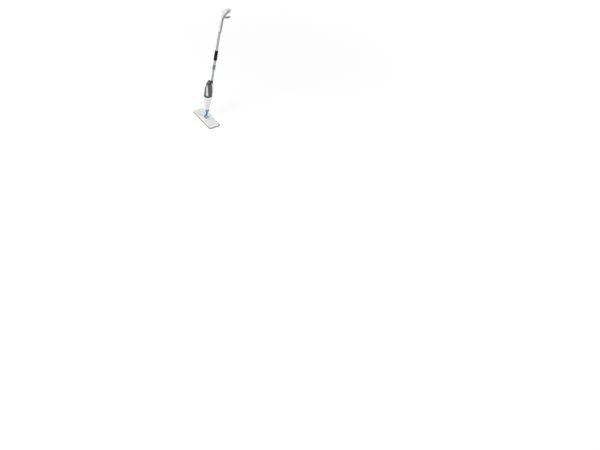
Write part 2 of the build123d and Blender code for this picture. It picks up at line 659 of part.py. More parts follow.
def make_tank():
    """The smoked tank, its dark base and hood, and the screw cap with its valve."""
    hull = lower_hull(0)
    outer = hull & tank_side(GAP)
    body = outer & tank_slab(BASE_T, HOOD_T0)
    inner = lower_hull(TANK_WALL) & tank_side(GAP + TANK_WALL)
    body -= inner & tank_slab(BASE_T + TANK_WALL, HOOD_T0 - TANK_WALL)
    seal_top = CAP_LIFT + CAP_FLOOR_T + SEAL_T
    body += cap_axis(NECK_R, seal_top + FIT, BASE_T + TANK_WALL)
    body -= cap_axis(NECK_BORE_R, 0, BASE_T + TANK_WALL)

    hood = outer & tank_slab(HOOD_T0, BIG)
    hood -= inner & tank_slab(HOOD_T0, BIG / 2) & slab(0, BODY_S + BODY_OVALS[-1][0] - WALL)

    base = outer & tank_slab(0, BASE_T)
    base -= cap_axis(CAP_R + CAP_ROOM, -PAST, BASE_T + PAST)

    # The cap goes over the neck. Its spigot goes down into the seat's socket.
    floor_top = CAP_LIFT + CAP_FLOOR_T
    cap = cap_axis(CAP_R, CAP_LIFT, CAP_LIFT + CAP_H)
    cap -= cap_axis(NECK_R + FIT, floor_top, CAP_LIFT + CAP_H + PAST)
    cap += cap_axis(SPIGOT_R, -SPIGOT_L, CAP_LIFT + PAST)
    cap -= cap_axis(SPIGOT_BORE_R, -SPIGOT_L + SPIGOT_FLOOR_T, 0)
    cap -= cap_axis(VALVE_WAY_R, -PAST, floor_top + PAST)
    cap -= cap_axis(STEM_R + GAP, -SPIGOT_L - PAST, 0)
    ring_at = TANK * Pos(0, CAP_V, -SPIGOT_L / 2)
    ring_major = SPIGOT_R + SPIGOT_PLAY - FIT - SPIGOT_RING_R
    cap -= ring_at * Torus(ring_major, SPIGOT_RING_R + FIT)
    spigot_ring = ring_at * Torus(ring_major, SPIGOT_RING_R)
    seal = cap_axis(NECK_R, floor_top, seal_top) - cap_axis(POPPET_R + PAST, 0, BASE_T)

    # The stem stands on the socket's pin and holds the poppet off its seat while the tank is in.
    # Its spring, between the valve's seat and the stem's collar, shuts it when the tank is lifted.
    poppet_low = floor_top + VALVE_LIFT
    stem = cap_axis(STEM_R, -SPIGOT_L + GAP, poppet_low)
    stem += cap_axis(POPPET_R, poppet_low, poppet_low + POPPET_T)
    stem += cap_axis(STEM_COLLAR_R, -STEM_SPRING_L - STEM_COLLAR_T, -STEM_SPRING_L)
    spring = TANK * Pos(0, CAP_V, 0) * coil_spring((STEM_R + SPIGOT_BORE_R) / 2, -STEM_SPRING_L, 0, 2)
    vent_low = (0, 0, HOOD_T0 - TANK_WALL - VENT_PROUD)
    vent = TANK * rod(VENT_R, vent_low, (0, 0, HOOD_T0 + VENT_PROUD))
    body -= TANK * rod(VENT_R + FIT, vent_low, (0, 0, HOOD_T0 + VENT_PROUD))
    return {
        "tank_body": body,
        "tank_hood": hood,
        "tank_base": base,
        "tank_cap": cap,
        "cap_seal": seal,
        "spigot_ring": spigot_ring,
        "valve_stem": stem,
        "valve_spring": spring,
        "air_valve": vent,
    }


# ---- Pump ---------------------------------------------------------------------------------------
def port(x, s):
    """A pump port on its front side: housing, barb, and the way through both with a valve seat."""
    mouth = -PUMP_R - PORT_PROUD
    housing = rod(PORT_R, (x, -PUMP_BORE_R / 2, s), (x, mouth, s))
    barb = rod(BARB_R, (x, mouth, s), (x, mouth - BARB_L, s))
    way = rod(BARB_R / 2, (x, 0, s), (x, mouth - BARB_L - PAST, s))
    room_from = mouth + PORT_WALL
    room = rod(PORT_R - PORT_WALL, (x, room_from, s), (x, room_from + VALVE_ROOM, s))
    return housing + barb, way + room


def port_valve(x, s):
    """A rubber disc in the middle of the room inside a port."""
    start = -PUMP_R - PORT_PROUD + PORT_WALL + (VALVE_ROOM - VALVE_T) / 2
    return rod(PORT_R - PORT_WALL - FIT, (x, start, s), (x, start + VALVE_T, s))


def make_pump():
    """The pump between the tube and the fork, its hoses and the spray nozzle."""
    inlet_s = PUMP_S + INLET_UP
    outlet_s = PUMP_S + OUTLET_UP
    cylinder = rod(PUMP_R, (0, 0, PUMP_S), (0, 0, PUMP_MOUTH_S))
    cylinder += rod(PUMP_R / 2, (0, 0, BODY_S + FORK_PLUG_L), (0, 0, PUMP_S))
    ways = []
    for x, s in ((-PORT_X, inlet_s), (PORT_X, outlet_s)):
        housing, way = port(x, s)
        cylinder += housing
        ways.append(way)
    cylinder -= rod(PUMP_BORE_R, (0, 0, PUMP_S + PUMP_FLOOR_T), (0, 0, PUMP_MOUTH_S + PAST))
    for way in ways:
        cylinder -= way
    cap = rod(PUMP_R, (0, 0, PUMP_MOUTH_S), (0, 0, PUMP_MOUTH_S + PUMP_CAP_T))
    plug_s = PUMP_MOUTH_S - PUMP_PLUG_L
    cap += rod(PUMP_BORE_R - FIT, (0, 0, plug_s), (0, 0, PUMP_MOUTH_S))
    cap -= rod(ROD_R + FIT, (0, 0, plug_s - PAST), (0, 0, PUMP_MOUTH_S + PUMP_CAP_T + PAST))

    piston = rod(PUMP_BORE_R - PISTON_PLAY, (0, 0, PISTON_TOP_S - PISTON_T), (0, 0, PISTON_TOP_S))
    ring_major = PUMP_BORE_R - FIT - RING_WIRE_R
    ring_s = PISTON_TOP_S - PISTON_T / 2
    piston -= Pos(0, 0, ring_s) * Torus(ring_major, RING_WIRE_R + FIT)
    piston -= rod(ROD_R + FIT, (0, 0, PISTON_TOP_S - PISTON_SOCKET), (0, 0, PISTON_TOP_S + PAST))
    ring = Pos(0, 0, ring_s) * Torus(ring_major, RING_WIRE_R)
    spring = coil_spring(PUMP_BORE_R - SPRING_IN, PUMP_S + PUMP_FLOOR_T, PISTON_TOP_S - PISTON_T, 7)

    # Suction hose: from the seat's stub straight down, then round a bend to the inlet's barb.
    stub_root = seat_stub()[1]
    hose_end = -PUMP_R - PORT_PROUD - HOSE_TAIL
    hose_top = (stub_root[0], stub_root[1], stub_root[2] - SEAT_WALL - STUB_N)
    corner = (stub_root[0], stub_root[1], inlet_s)
    suction = hose_along(FilletPolyline(hose_top, corner, (-PORT_X, hose_end, inlet_s), radius=HOSE_BEND_R))
    nozzle_back = hull_front(outlet_s) + NOZZLE_L
    delivery = hose_along(Line((PORT_X, hose_end, outlet_s), (PORT_X, nozzle_back + HOSE_TAIL, outlet_s)))

    nose = hull_front(outlet_s) - NOZZLE_PROUD
    foot_n = nozzle_back - NOZZLE_FOOT_T
    side_way_n = nozzle_back - NOZZLE_FOOT_T / 2
    way_r = NOZZLE_WAY_R
    nozzle = rod(NOZZLE_R, (0, nose, outlet_s), (0, nozzle_back, outlet_s))
    nozzle += block(-NOZZLE_R, PORT_X + BARB_R, foot_n, nozzle_back, outlet_s - NOZZLE_R, outlet_s + NOZZLE_R)
    nozzle += rod(BARB_R, (PORT_X, nozzle_back, outlet_s), (PORT_X, nozzle_back + BARB_L - HOSE_TAIL, outlet_s))
    nozzle -= rod(way_r, (PORT_X, side_way_n, outlet_s), (PORT_X, nozzle_back + BARB_L, outlet_s))
    side_way = rod(way_r, (0, side_way_n, outlet_s), (PORT_X, side_way_n, outlet_s))
    nozzle -= side_way
    nozzle -= rod(way_r, (0, nose - PAST, outlet_s), (0, side_way_n, outlet_s))
    nozzle -= rod(TIP_R, (0, nose - PAST, outlet_s), (0, nose + TIP_L, outlet_s))
    tip = pipe(TIP_R - FIT, JET_R, (0, nose - TIP_PROUD, outlet_s), (0, nose + TIP_L, outlet_s))
    return {
        "pump_cylinder": cylinder,
        "pump_cap": cap,
        "pump_piston": piston,
        "piston_ring": ring,
        "pump_spring": spring,
        "pump_valves": group([port_valve(-PORT_X, inlet_s), port_valve(PORT_X, outlet_s)]),
        "suction_hose": suction,
        "delivery_hose": delivery,
        "nozzle_body": nozzle,
        "nozzle_tip": tip,
    }


def hose_along(path):
    """A soft hose whose bore fits over the barbs."""
    place = Plane(origin=path @ 0, z_dir=path % 0)
    ring = place * (Circle(HOSE_R) - Circle(BARB_R + FIT))
    return sweep(ring, path=path)


# ---- Tubes and push rod -------------------------------------------------------------------------
def make_tubes():
    """Lower and upper tubes, the coupler with its snap button, collar, foam grip and ferrule."""
    lower_end = LOWER_TUBE_S + LOWER_TUBE_L
    button_hole = rod(BUTTON_R + GAP, (0, 0, BUTTON_S), (0, FAR, BUTTON_S))
    lower = pipe(LOWER_TUBE_R, LOWER_TUBE_R - TUBE_WALL, (0, 0, LOWER_TUBE_S), (0, 0, lower_end))
    for up in TUBE_SCREWS_UP:
        s = LOWER_TUBE_S + up
        lower -= rod(SCREW_R + FIT, (0, 0, s), (0, LOWER_TUBE_R + PAST, s))
    lower -= button_hole
    upper = pipe(UPPER_TUBE_R, UPPER_TUBE_R - TUBE_WALL, (0, 0, UPPER_TUBE_S), (0, 0, UPPER_TUBE_END))
    upper -= button_hole
    handle_screw_s = HANDLE_S + sum(SADDLE_UP) / 2
    upper -= rod(SCREW_R + FIT, (0, 0, handle_screw_s), (0, UPPER_TUBE_R + PAST, handle_screw_s))

    coupler_top = COUPLER_S + COUPLER_L
    coupler = rod(COUPLER_R, (0, 0, COUPLER_S), (0, 0, coupler_top))
    coupler = fillet(coupler.edges(), COUPLER_EDGE)
    coupler -= rod(LOWER_TUBE_R + FIT, (0, 0, COUPLER_S - PAST), (0, 0, UPPER_TUBE_S))
    coupler -= rod(UPPER_TUBE_R + FIT, (0, 0, UPPER_TUBE_S), (0, 0, coupler_top + PAST))
    coupler -= rod(COUPLER_WINDOW_R, (0, 0, BUTTON_S), (0, FAR, BUTTON_S))
    for up in BANDS_UP:
        band_s = COUPLER_S + up
        coupler -= pipe(COUPLER_R + PAST, COUPLER_R - BAND_DEPTH, (0, 0, band_s), (0, 0, band_s + BAND_W))

    # The button's flange lies inside the lower tube, on the bent end of its leaf spring.
    flange_n = LOWER_TUBE_R - TUBE_WALL - BUTTON_FLANGE_IN
    button = rod(BUTTON_R, (0, flange_n, BUTTON_S), (0, UPPER_TUBE_R + BUTTON_PROUD, BUTTON_S))
    button = fillet(button.edges().sort_by(Axis.Y)[-1], BUTTON_EDGE)
    button += rod(BUTTON_R + PAST, (0, flange_n - PAST, BUTTON_S), (0, flange_n, BUTTON_S))
    leaf_s = BUTTON_S + BUTTON_R + PAST + GAP
    leaf_n = flange_n - PAST
    leaf_face = make_face(
        Polyline(
            (leaf_n, leaf_s),
            (leaf_n + LEAF_RISE, leaf_s + LEAF_L),
            (leaf_n + LEAF_RISE - LEAF_T, leaf_s + LEAF_L),
            (leaf_n - LEAF_T, leaf_s),
            close=True,
        )
    )
    leaf = extrude(Plane.YZ * leaf_face, LEAF_HALF, both=True)

    collar = rod(COLLAR_R, (0, 0, SPINE_TOP_S), (0, 0, SPINE_TOP_S + COLLAR_L))
    collar = chamfer(collar.edges().sort_by(Axis.Z)[-1], COLLAR_EDGE)
    collar -= rod(LOWER_TUBE_R + FIT, (0, 0, SPINE_TOP_S - PAST), (0, 0, SPINE_TOP_S + COLLAR_L + PAST))
    foam = rod(FOAM_R, (0, 0, FOAM_S), (0, 0, FOAM_S + FOAM_L))
    foam = fillet(foam.edges().filter_by(GeomType.CIRCLE), FOAM_EDGE)
    foam -= rod(UPPER_TUBE_R + FIT, (0, 0, FOAM_S - PAST), (0, 0, FOAM_S + FOAM_L + PAST))
    ferrule = rod(FERRULE_R, (0, 0, HANDLE_S - FERRULE_L), (0, 0, HANDLE_S))
    ferrule = chamfer(ferrule.edges().sort_by(Axis.Z)[0], FERRULE_EDGE)
    ferrule -= rod(UPPER_TUBE_R + FIT, (0, 0, HANDLE_S - FERRULE_L - PAST), (0, 0, HANDLE_S + PAST))
    return {
        "lower_tube": lower,
        "upper_tube": upper,
        "coupler": coupler,
        "coupler_button": button,
        "button_leaf": leaf,
        "tube_collar": collar,
        "foam_grip": foam,
        "handle_ferrule": ferrule,
    }


def make_push_rod():
    """The rod inside the tubes, from the lever's nose to the piston, with its guides."""
    low_s = PISTON_TOP_S - PISTON_SOCKET
    lower = rod(ROD_R, (0, 0, low_s), (0, 0, ROD_JOINT_S))
    upper = rod(ROD_R, (0, 0, ROD_JOINT_S), (0, 0, ROD_TOP_S - ROD_CAP_T / 2))
    half = SLEEVE_L / 2
    sleeve = pipe(SLEEVE_R, ROD_R + FIT, (0, 0, ROD_JOINT_S - half), (0, 0, ROD_JOINT_S + half))
    cap = rod(ROD_CAP_R, (0, 0, ROD_TOP_S - ROD_CAP_T), (0, 0, ROD_TOP_S))
    cap -= rod(ROD_R + FIT, (0, 0, ROD_TOP_S - ROD_CAP_T - PAST), (0, 0, ROD_TOP_S - ROD_CAP_T / 2))
    places = [(LOWER_TUBE_R, LOWER_TUBE_S + up) for up in LOWER_GUIDES_UP]
    places.append((UPPER_TUBE_R, UPPER_TUBE_S + UPPER_GUIDE_UP))
    places += [(UPPER_TUBE_R, UPPER_TUBE_END - down) for down in UPPER_GUIDES_DOWN]
    guides = [
        pipe(tube_r - TUBE_WALL - FIT, ROD_R + FIT, (0, 0, s), (0, 0, s + GUIDE_T))
        for tube_r, s in places
    ]
    rib_s = HANDLE_S + GUIDE_RIB_UP
    spring = coil_spring(ROD_CAP_R - WIRE_R - GAP, rib_s + SADDLE_T, ROD_TOP_S - ROD_CAP_T, 6)
    return {
        "lower_rod": lower,
        "upper_rod": upper,
        "rod_sleeve": sleeve,
        "rod_cap": cap,
        "rod_guides": group(guides),
        "rod_spring": spring,
    }


# ---- Handle and trigger -------------------------------------------------------------------------
def side_face(edges):
    """A closed outline in the stick's side plane, heights measured from the handle's foot."""
    return Pos(0, 0, HANDLE_S) * (Plane.YZ * make_face(edges))


def inset_spline(points, tangents, side, inset):
    """A spline moved sideways: inset to its right if side is 1, to its left if side is -1."""
    curve = Spline(*points, tangents=tangents)
    if inset == 0:
        return curve
    steps = 2 * len(points)
    moved = []
    for step in range(steps + 1):
        at = curve @ (step / steps)
        along = curve % (step / steps)
        moved.append((at.X + side * along.Y * inset, at.Y - side * along.X * inset))
    return Spline(*moved, tangents=[curve % 0, curve % 1])


def handle_face(inset):
    """The handle's side outline: front edge, round end, back edge and foot, drawn in by inset."""
    join = radians(-75)
    radius = LOBE_R - inset
    lobe_top = (LOBE[0], LOBE[1] + LOBE_R)
    lobe_low = (LOBE[0] + LOBE_R * cos(join), LOBE[1] + LOBE_R * sin(join))
    front = inset_spline((*HANDLE_FRONT, lobe_top), [(-0.2, 1), (1, 0)], 1, inset)
    back = inset_spline((*HANDLE_BACK, lobe_low), [(0.1, 1), (-sin(join), cos(join))], -1, inset)
    round_end = ThreePointArc(front @ 1, (LOBE[0] + radius, LOBE[1]), back @ 1)
    foot = Line(back @ 0, front @ 0)
    return make_face([front, round_end, back, foot])


def handle_solid(inset):
    """The handle's rounded form, drawn in by inset."""
    face = Plane.YZ * handle_face(inset)
    solid = Pos(0, 0, HANDLE_S) * extrude(face, HANDLE_HALF - inset, both=True)
    sides = solid.faces().filter_by(Axis.X)
    edges = [edge for edge in sides.edges() if edge.geom_type != GeomType.LINE]
    return fillet(edges, HANDLE_ROUND - inset)


def rear_region():
    """All space behind the line between the two covers."""
    low = (COVER_SPLIT[0][0], -50)
    line = Spline(*COVER_SPLIT, tangents=[(0, 1), (0.2, 1)])
    far = 200
    rest = Polyline(COVER_SPLIT[-1], (far, COVER_SPLIT[-1][1]), (far, low[1]), low, COVER_SPLIT[0])
    return extrude(side_face([line, rest]), BIG / 4, both=True)


def make_handle():
    """The two covers of the handle, their screws and the eyelet of the hang hole."""
    form = handle_solid(0)
    hollow = handle_solid(HANDLE_WALL)
    core = handle_solid(HANDLE_WALL / 2)
    fill = []
    for up in SADDLE_UP:
        s = HANDLE_S + up
        way = rod(UPPER_TUBE_R + FIT, (0, 0, s - PAST), (0, 0, s + SADDLE_T + PAST))
        fill.append((core & slab(s, s + SADDLE_T)) - way)
    rib_s = HANDLE_S + GUIDE_RIB_UP
    rib_way = rod(ROD_R + FIT, (0, 0, rib_s - PAST), (0, 0, rib_s + SADDLE_T + PAST))
    fill.append((core & slab(rib_s, rib_s + SADDLE_T)) - rib_way)
    eye_s = HANDLE_S + EYE[1]
    fill.append(rod(EYELET_R + WALL, (-FAR, EYE[0], eye_s), (FAR, EYE[0], eye_s)) & core)
    pivot_n, pivot_up = TRIGGER_PIVOT
    pivot_s = HANDLE_S + pivot_up
    boss_x = TRIGGER_HUB_HALF + EAR_GAP
    for side in (-1, 1):
        boss = rod(BOSS_R, (side * boss_x, pivot_n, pivot_s), (side * FAR, pivot_n, pivot_s))
        fill.append(boss & core)

    screws = []
    cuts = []
    for place, length, post in handle_screws():
        fill.append(post & core)
        screws.append(screw(place, length))
        cuts.append(screw_hole(place, length + PAST))
    shell = form - (hollow & slab(HANDLE_S + HANDLE_WALL, BIG * 2)) + fill
    for cut in cuts:
        shell -= cut
    shell -= rod(UPPER_TUBE_R + FIT, (0, 0, HANDLE_S - PAST), (0, 0, UPPER_TUBE_END))
    shell -= rod(EYELET_R + FIT, (-FAR, EYE[0], eye_s), (FAR, EYE[0], eye_s))
    pin_half = HANDLE_HALF - HANDLE_WALL
    shell -= rod(TRIGGER_PIN_R + FIT, (-pin_half, pivot_n, pivot_s), (pin_half, pivot_n, pivot_s))
    slot_half = TRIGGER_HALF + SLOT_PLAY
    slot_n = pivot_n + SLOT_FROM
    shell -= block(-slot_half, slot_half, slot_n, slot_n + SLOT_L, pivot_s - SLOT_DOWN, pivot_s + SLOT_UP)
    rear_side = rear_region()
    eyelet = rod(EYELET_R, (-HANDLE_HALF, EYE[0], eye_s), (HANDLE_HALF, EYE[0], eye_s))
    for side in (-1, 1):
        flange_x = side * HANDLE_HALF
        outer_x = flange_x + side * EYELET_FLANGE_T
        eyelet += rod(EYELET_FLANGE_R, (flange_x, EYE[0], eye_s), (outer_x, EYE[0], eye_s))
    eyelet -= rod(EYE_R, (-FAR, EYE[0], eye_s), (FAR, EYE[0], eye_s))
    return {
        "handle_front": shell - rear_side,
        "handle_rear": shell & rear_side,
        "handle_screws": group(screws),
        "hang_eyelet": eyelet,
    }


def handle_screws():
    """Each handle screw's place, length and the post it goes into."""
    rows = []
    aside, n, up, length = GRIP_SCREW
    s = HANDLE_S + up
    for x in both_sides([aside]):
        rows.append((Location((x, n, s), (-90, 0, 0)), length, rod(GRIP_POST_R, (x, -FAR, s), (x, FAR, s))))
    n, up, length = END_SCREW
    s = HANDLE_S + up
    rows.append((Location((0, n, s), (180, 0, 0)), length, rod(POST_R, (0, n, s - FAR), (0, n, s + FAR))))
    n, length = TUBE_SCREW
    s = HANDLE_S + sum(SADDLE_UP) / 2
    rows.append((Location((0, n, s), (-90, 0, 0)), length, rod(TUBE_POST_R, (0, UPPER_TUBE_R, s), (0, FAR, s))))
    return rows


def make_trigger():
    """The squeeze lever: hub, nose arm over the rod and paddle for the fingers."""
    pivot_n, pivot_up = TRIGGER_PIVOT
    pivot = Pos(0, pivot_n, HANDLE_S + pivot_up)
    hub = rod(TRIGGER_HUB_R, (-TRIGGER_HUB_HALF, 0, 0), (TRIGGER_HUB_HALF, 0, 0))
    nose = Pos(-TRIGGER_ARM, -NOSE_DROP) * Circle(TRIGGER_NOSE_R)
    arm_face = make_hull((Circle(TRIGGER_HUB_R - ARM_EDGE) + nose).edges())
    arm = extrude(Plane.YZ * arm_face, TRIGGER_HUB_HALF - PAST, both=True)
    top = Spline(*PADDLE_TOP)
    tip = ThreePointArc(PADDLE_TOP[-1], PADDLE_TIP, PADDLE_BOTTOM[0])
    bottom = Spline(*PADDLE_BOTTOM)
    root = Line(PADDLE_BOTTOM[-1], PADDLE_TOP[0])
    paddle_face = Plane.YZ * make_face([top, tip, bottom, root])
    paddle = extrude(paddle_face, TRIGGER_HALF, both=True)
    long_edges = [edge for edge in paddle.faces().filter_by(Axis.X).edges() if edge.geom_type != GeomType.LINE]
    paddle = fillet(long_edges, PADDLE_EDGE)
    paddle -= block(-BIG, BIG, -BIG, TRIGGER_HUB_R - PAST, -BIG, BIG)
    throat = extrude(paddle_face, TRIGGER_HUB_HALF, both=True)
    throat &= block(-BIG, BIG, 0, TRIGGER_HUB_R + PAST, -BIG, BIG)
    trigger = hub + arm + paddle + throat
    trigger -= rod(TRIGGER_PIN_R + FIT, (-BIG, 0, 0), (BIG, 0, 0))
    pin_half = HANDLE_HALF - HANDLE_WALL - FIT
    pin = rod(TRIGGER_PIN_R, (-pin_half, 0, 0), (pin_half, 0, 0))
    return {"trigger": pivot * trigger, "trigger_pin": pivot * pin}


# ---- Writing the pieces -------------------------------------------------------------------------
def write(nodes, place):
    """Write each node to its own STEP file, in its place on the mop."""
    for name, shape in nodes.items():
        export_step(place * shape, f"parts/{name}.step")


os.makedirs("parts", exist_ok=True)
write(make_head(), Location())
write(make_yoke(), Location())
for make in (
    make_link,
    make_fork,
    make_lower_unit,
    make_tank,
    make_pump,
    make_tubes,
    make_push_rod,
    make_handle,
    make_trigger,
):
    write(make(), STICK)
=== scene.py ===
import json
import math

import bpy
import numpy as np
from bpy.props import FloatProperty, FloatVectorProperty, PointerProperty
from mathutils import Matrix, Vector

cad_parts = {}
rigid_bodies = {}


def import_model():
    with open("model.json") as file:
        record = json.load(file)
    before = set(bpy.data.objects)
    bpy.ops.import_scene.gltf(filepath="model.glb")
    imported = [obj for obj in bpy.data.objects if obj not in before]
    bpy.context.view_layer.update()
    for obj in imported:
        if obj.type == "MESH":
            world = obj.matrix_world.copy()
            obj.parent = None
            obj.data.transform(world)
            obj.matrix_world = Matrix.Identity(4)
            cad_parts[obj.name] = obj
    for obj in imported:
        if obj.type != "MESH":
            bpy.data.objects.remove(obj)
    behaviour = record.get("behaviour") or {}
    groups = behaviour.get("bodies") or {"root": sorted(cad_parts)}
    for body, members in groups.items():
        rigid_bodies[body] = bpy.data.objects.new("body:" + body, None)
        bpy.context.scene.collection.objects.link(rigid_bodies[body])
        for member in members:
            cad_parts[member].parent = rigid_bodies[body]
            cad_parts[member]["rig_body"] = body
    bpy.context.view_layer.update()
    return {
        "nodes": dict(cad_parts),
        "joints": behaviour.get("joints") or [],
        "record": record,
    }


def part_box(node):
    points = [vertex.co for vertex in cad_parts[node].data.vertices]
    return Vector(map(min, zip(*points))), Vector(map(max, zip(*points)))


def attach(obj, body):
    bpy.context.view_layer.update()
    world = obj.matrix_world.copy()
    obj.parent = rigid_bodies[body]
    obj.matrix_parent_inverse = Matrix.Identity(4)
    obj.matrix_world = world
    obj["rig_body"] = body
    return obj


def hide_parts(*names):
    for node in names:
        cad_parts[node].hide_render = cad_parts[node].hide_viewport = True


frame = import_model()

bl_info = {
    "name": "Spray mop dresser",
    "version": (1, 0, 0),
    "blender": (4, 5, 0),
    "location": "View3D > Sidebar > Mop",
    "description": "Adds soft pieces, finishes and a stage to the rigid frame of a hand-pumped spray mop",
    "category": "Object",
}

WHITE = (1.0, 1.0, 1.0)
SLOTS = {row["node"]: row["material_slot"] for row in frame["record"]["subparts"]}

# ---- The stick's own directions, from the joints --------------------------------------------------
JOINTS = {joint["name"]: joint for joint in frame["joints"]}
PIVOT = np.array(JOINTS["neck_pitch"]["pos_m"])
STICK_UP = -np.array(JOINTS["push_rod_slide"]["axis"])
STICK_BACK = np.array(JOINTS["neck_roll"]["axis"])
STICK_SIDE = np.array([1.0, 0.0, 0.0])
STICK_MIDDLE = 0.529  # height up the stick that the camera's distance is measured from

# ---- The tank's painted highlight bands, in metres and radians --------------------------------------
TANK_AXIS_Y, TANK_AXIS_Z = 0.0376, 0.2625  # a point of the line that the bands stand round
TANK_LEAN = 0.028  # how far back that line goes for each metre up
HIGHLIGHT_ANGLE = math.radians(52.0)  # a band's middle, to each side of the front
HIGHLIGHT_FADE = (math.radians(7.0), math.radians(24.0))  # from its middle to where it starts and ends fading
HIGHLIGHT_FOOT = (0.276, 0.290)  # heights between which a band appears
HIGHLIGHT_HEAD = (0.375, 0.396)  # heights between which it goes

# ---- Textures with a real size, in metres -----------------------------------------------------------
RIB_PITCH = 0.0011
TWILL_PITCH = 0.0016
PLY_PITCH = 0.0007
TAPE_END_SHADE = (0.176, 0.196)  # distances from the head's middle between which the painted shade sets in

# ---- Soft pieces: fixed sizes in metres, and how finely they are divided ----------------------------
PAD_CORNER = 0.025
PAD_STEP_X, PAD_STEP_Y = 0.0015, 0.0012
PAD_ROOM = 0.0001  # between the pad's top and the top of its solid
EDGE_STEPS = 6  # stations across the pad's soft edge
BINDING_CORNER = 0.030
BINDING_SIDES = 24
BINDING_POWER = 3  # of the superellipse that the tape's section is
PUCKER_ASIDE = 0.3  # how much of the pucker also narrows the tape
STITCH_RINGS, STITCH_SIDES = 6, 6
STITCH_END = 0.98  # the last ring's place, just short of the tip
STITCH_REACH = 0.36  # half a stitch's length, as a share of the pitch
STITCH_ARCH = 0.5  # rise of its middle, as a share of its radius
STITCH_SINK = 0.3  # how deep it lies in the tape, as a share of its radius
GRIP_ROOM = 0.00005  # between the foam's bore and the tube
GRIP_EDGE = 0.0028
GRIP_ROWS, GRIP_ARC_ROWS, GRIP_SIDES = 64, 7, 72
GRIP_RINGS = 4
GRIP_RING_POWER = 8

# ---- Stage: sizes in metres ---------------------------------------------------------------------------
FLOOR_R, FLOOR_SIDES = 40.0, 64
FLOOR_TONES = ((0.90, 0.90, 0.90), (0.94, 0.94, 0.94))
FLOOR_GLOW = 1.04
NEAR_GLOW = 0.76  # share of the floor's own glow beside the mop, where its shadow falls
FLOOR_FADE = (0.9, 4.5)  # distances from the mop between which the floor turns all to glow
SEEING_RAYS = ("Is Camera Ray", "Is Glossy Ray", "Is Transmission Ray")
SENSOR_WIDTH = 36.0  # millimetres
CLIP_END = 100.0
LAMPS = (  # name, place, target, the stage's name for its power, width, height
    ("key_lamp", (1.5, -4.5, 5.0), (0.0, 0.1, 0.5), "key_light", 3.0, 3.0),
    ("left_strip", (-2.6, -2.4, 1.4), (0.0, 0.1, 0.6), "strip_light", 0.5, 2.4),
    ("right_strip", (3.4, 1.8, 1.6), (0.0, 0.1, 0.6), "strip_light", 0.4, 2.4),
)

# ---- Colours of pieces that hardly show ---------------------------------------------------------------
NATURAL = (0.60, 0.60, 0.57)
HOOK_BLACK = (0.02, 0.02, 0.022)
RUBBER_BLACK = (0.02, 0.02, 0.02)
HOSE_PALE = (0.62, 0.64, 0.62)
BRASS = (0.56, 0.42, 0.18)
STEEL = (0.52, 0.52, 0.53)
ROD_METAL = (0.60, 0.60, 0.61)


def along_stick(node):
    """A node's vertices as x, distance behind the stick's axis and height up the stick, in metres."""
    mesh = frame["nodes"][node].data
    places = np.zeros(len(mesh.vertices) * 3, np.float32)
    mesh.vertices.foreach_get("co", places)
    places = places.reshape(-1, 3) - PIVOT
    return places @ np.stack([STICK_SIDE, STICK_BACK, STICK_UP], axis=1)


def from_stick(across, back, up):
    """Points in the row's frame from x, distance behind the stick's axis and height up the stick."""
    return (
        PIVOT
        + across[..., None] * STICK_SIDE
        + back[..., None] * STICK_BACK
        + up[..., None] * STICK_UP
    )


# ---- What a user may change -----------------------------------------------------------------------
def length_of(name, description, default):
    """A length property, in metres."""
    return FloatProperty(
        name=name, description=description, default=default, min=0.0, subtype="DISTANCE", unit="LENGTH"
    )


def angle_of(name, description, degrees):
    """An angle property, given in degrees."""
    return FloatProperty(name=name, description=description, default=math.radians(degrees), subtype="ANGLE")


def number_of(name, description, default, least=0.0):
    """A plain number property."""
    return FloatProperty(name=name, description=description, default=default, min=least)


def colour_of(name, description, default):
    """A colour property."""
    return FloatVectorProperty(
        name=name, description=description, default=default, min=0.0, max=1.0, size=3, subtype="COLOR"
    )


class MopColours(bpy.types.PropertyGroup):
    """Colours of the mop's finishes, as they render."""

    white: colour_of("White shells", "Shells of the lower unit, and the handle's front", (0.71, 0.71, 0.69))
    head: colour_of("Head", "Top shell of the head", (0.87, 0.865, 0.84))
    panel: colour_of("Panels", "Panels let into the head's top", (0.76, 0.76, 0.755))
    handle: colour_of("Handle grey", "Rear cover and ferrule of the handle", (0.255, 0.255, 0.26))
    lever: colour_of("Lever blue", "Lever, tube coupler and its button", (0.10, 0.165, 0.18))
    link: colour_of("Link blue", "Link of the neck", (0.066, 0.245, 0.39))
    yoke: colour_of("Yoke blue", "Yoke and lower pin caps", (0.28, 0.44, 0.51))
    fork: colour_of("Fork grey blue", "Fork and pin caps of the neck", (0.19, 0.33, 0.39))
    tube: colour_of("Tube grey", "Lacquer of the two tubes", (0.335, 0.33, 0.342))
    hood: colour_of("Dark plastic", "Hood, base and collar", (0.014, 0.015, 0.017))
    smoke: colour_of("Smoked tank", "Clear tinted wall of the tank", (0.052, 0.053, 0.056))
    # painted highlight: pale bands up the tank's sides that stand in for a strip light's reflection
    sight: colour_of("Painted highlight", "Paler bands painted up the tank's sides as a highlight", (0.80, 0.81, 0.82))
    foam: colour_of("Foam", "Hand grip", (0.009, 0.009, 0.009))
    pile: colour_of("Pile", "Microfibre pile of the pad", (0.82, 0.83, 0.84))
    binding: colour_of("Binding", "Tape sewn round the pad's edge", (0.36, 0.355, 0.37))
    thread: colour_of("Thread", "Stitches of the binding", (0.47, 0.47, 0.48))


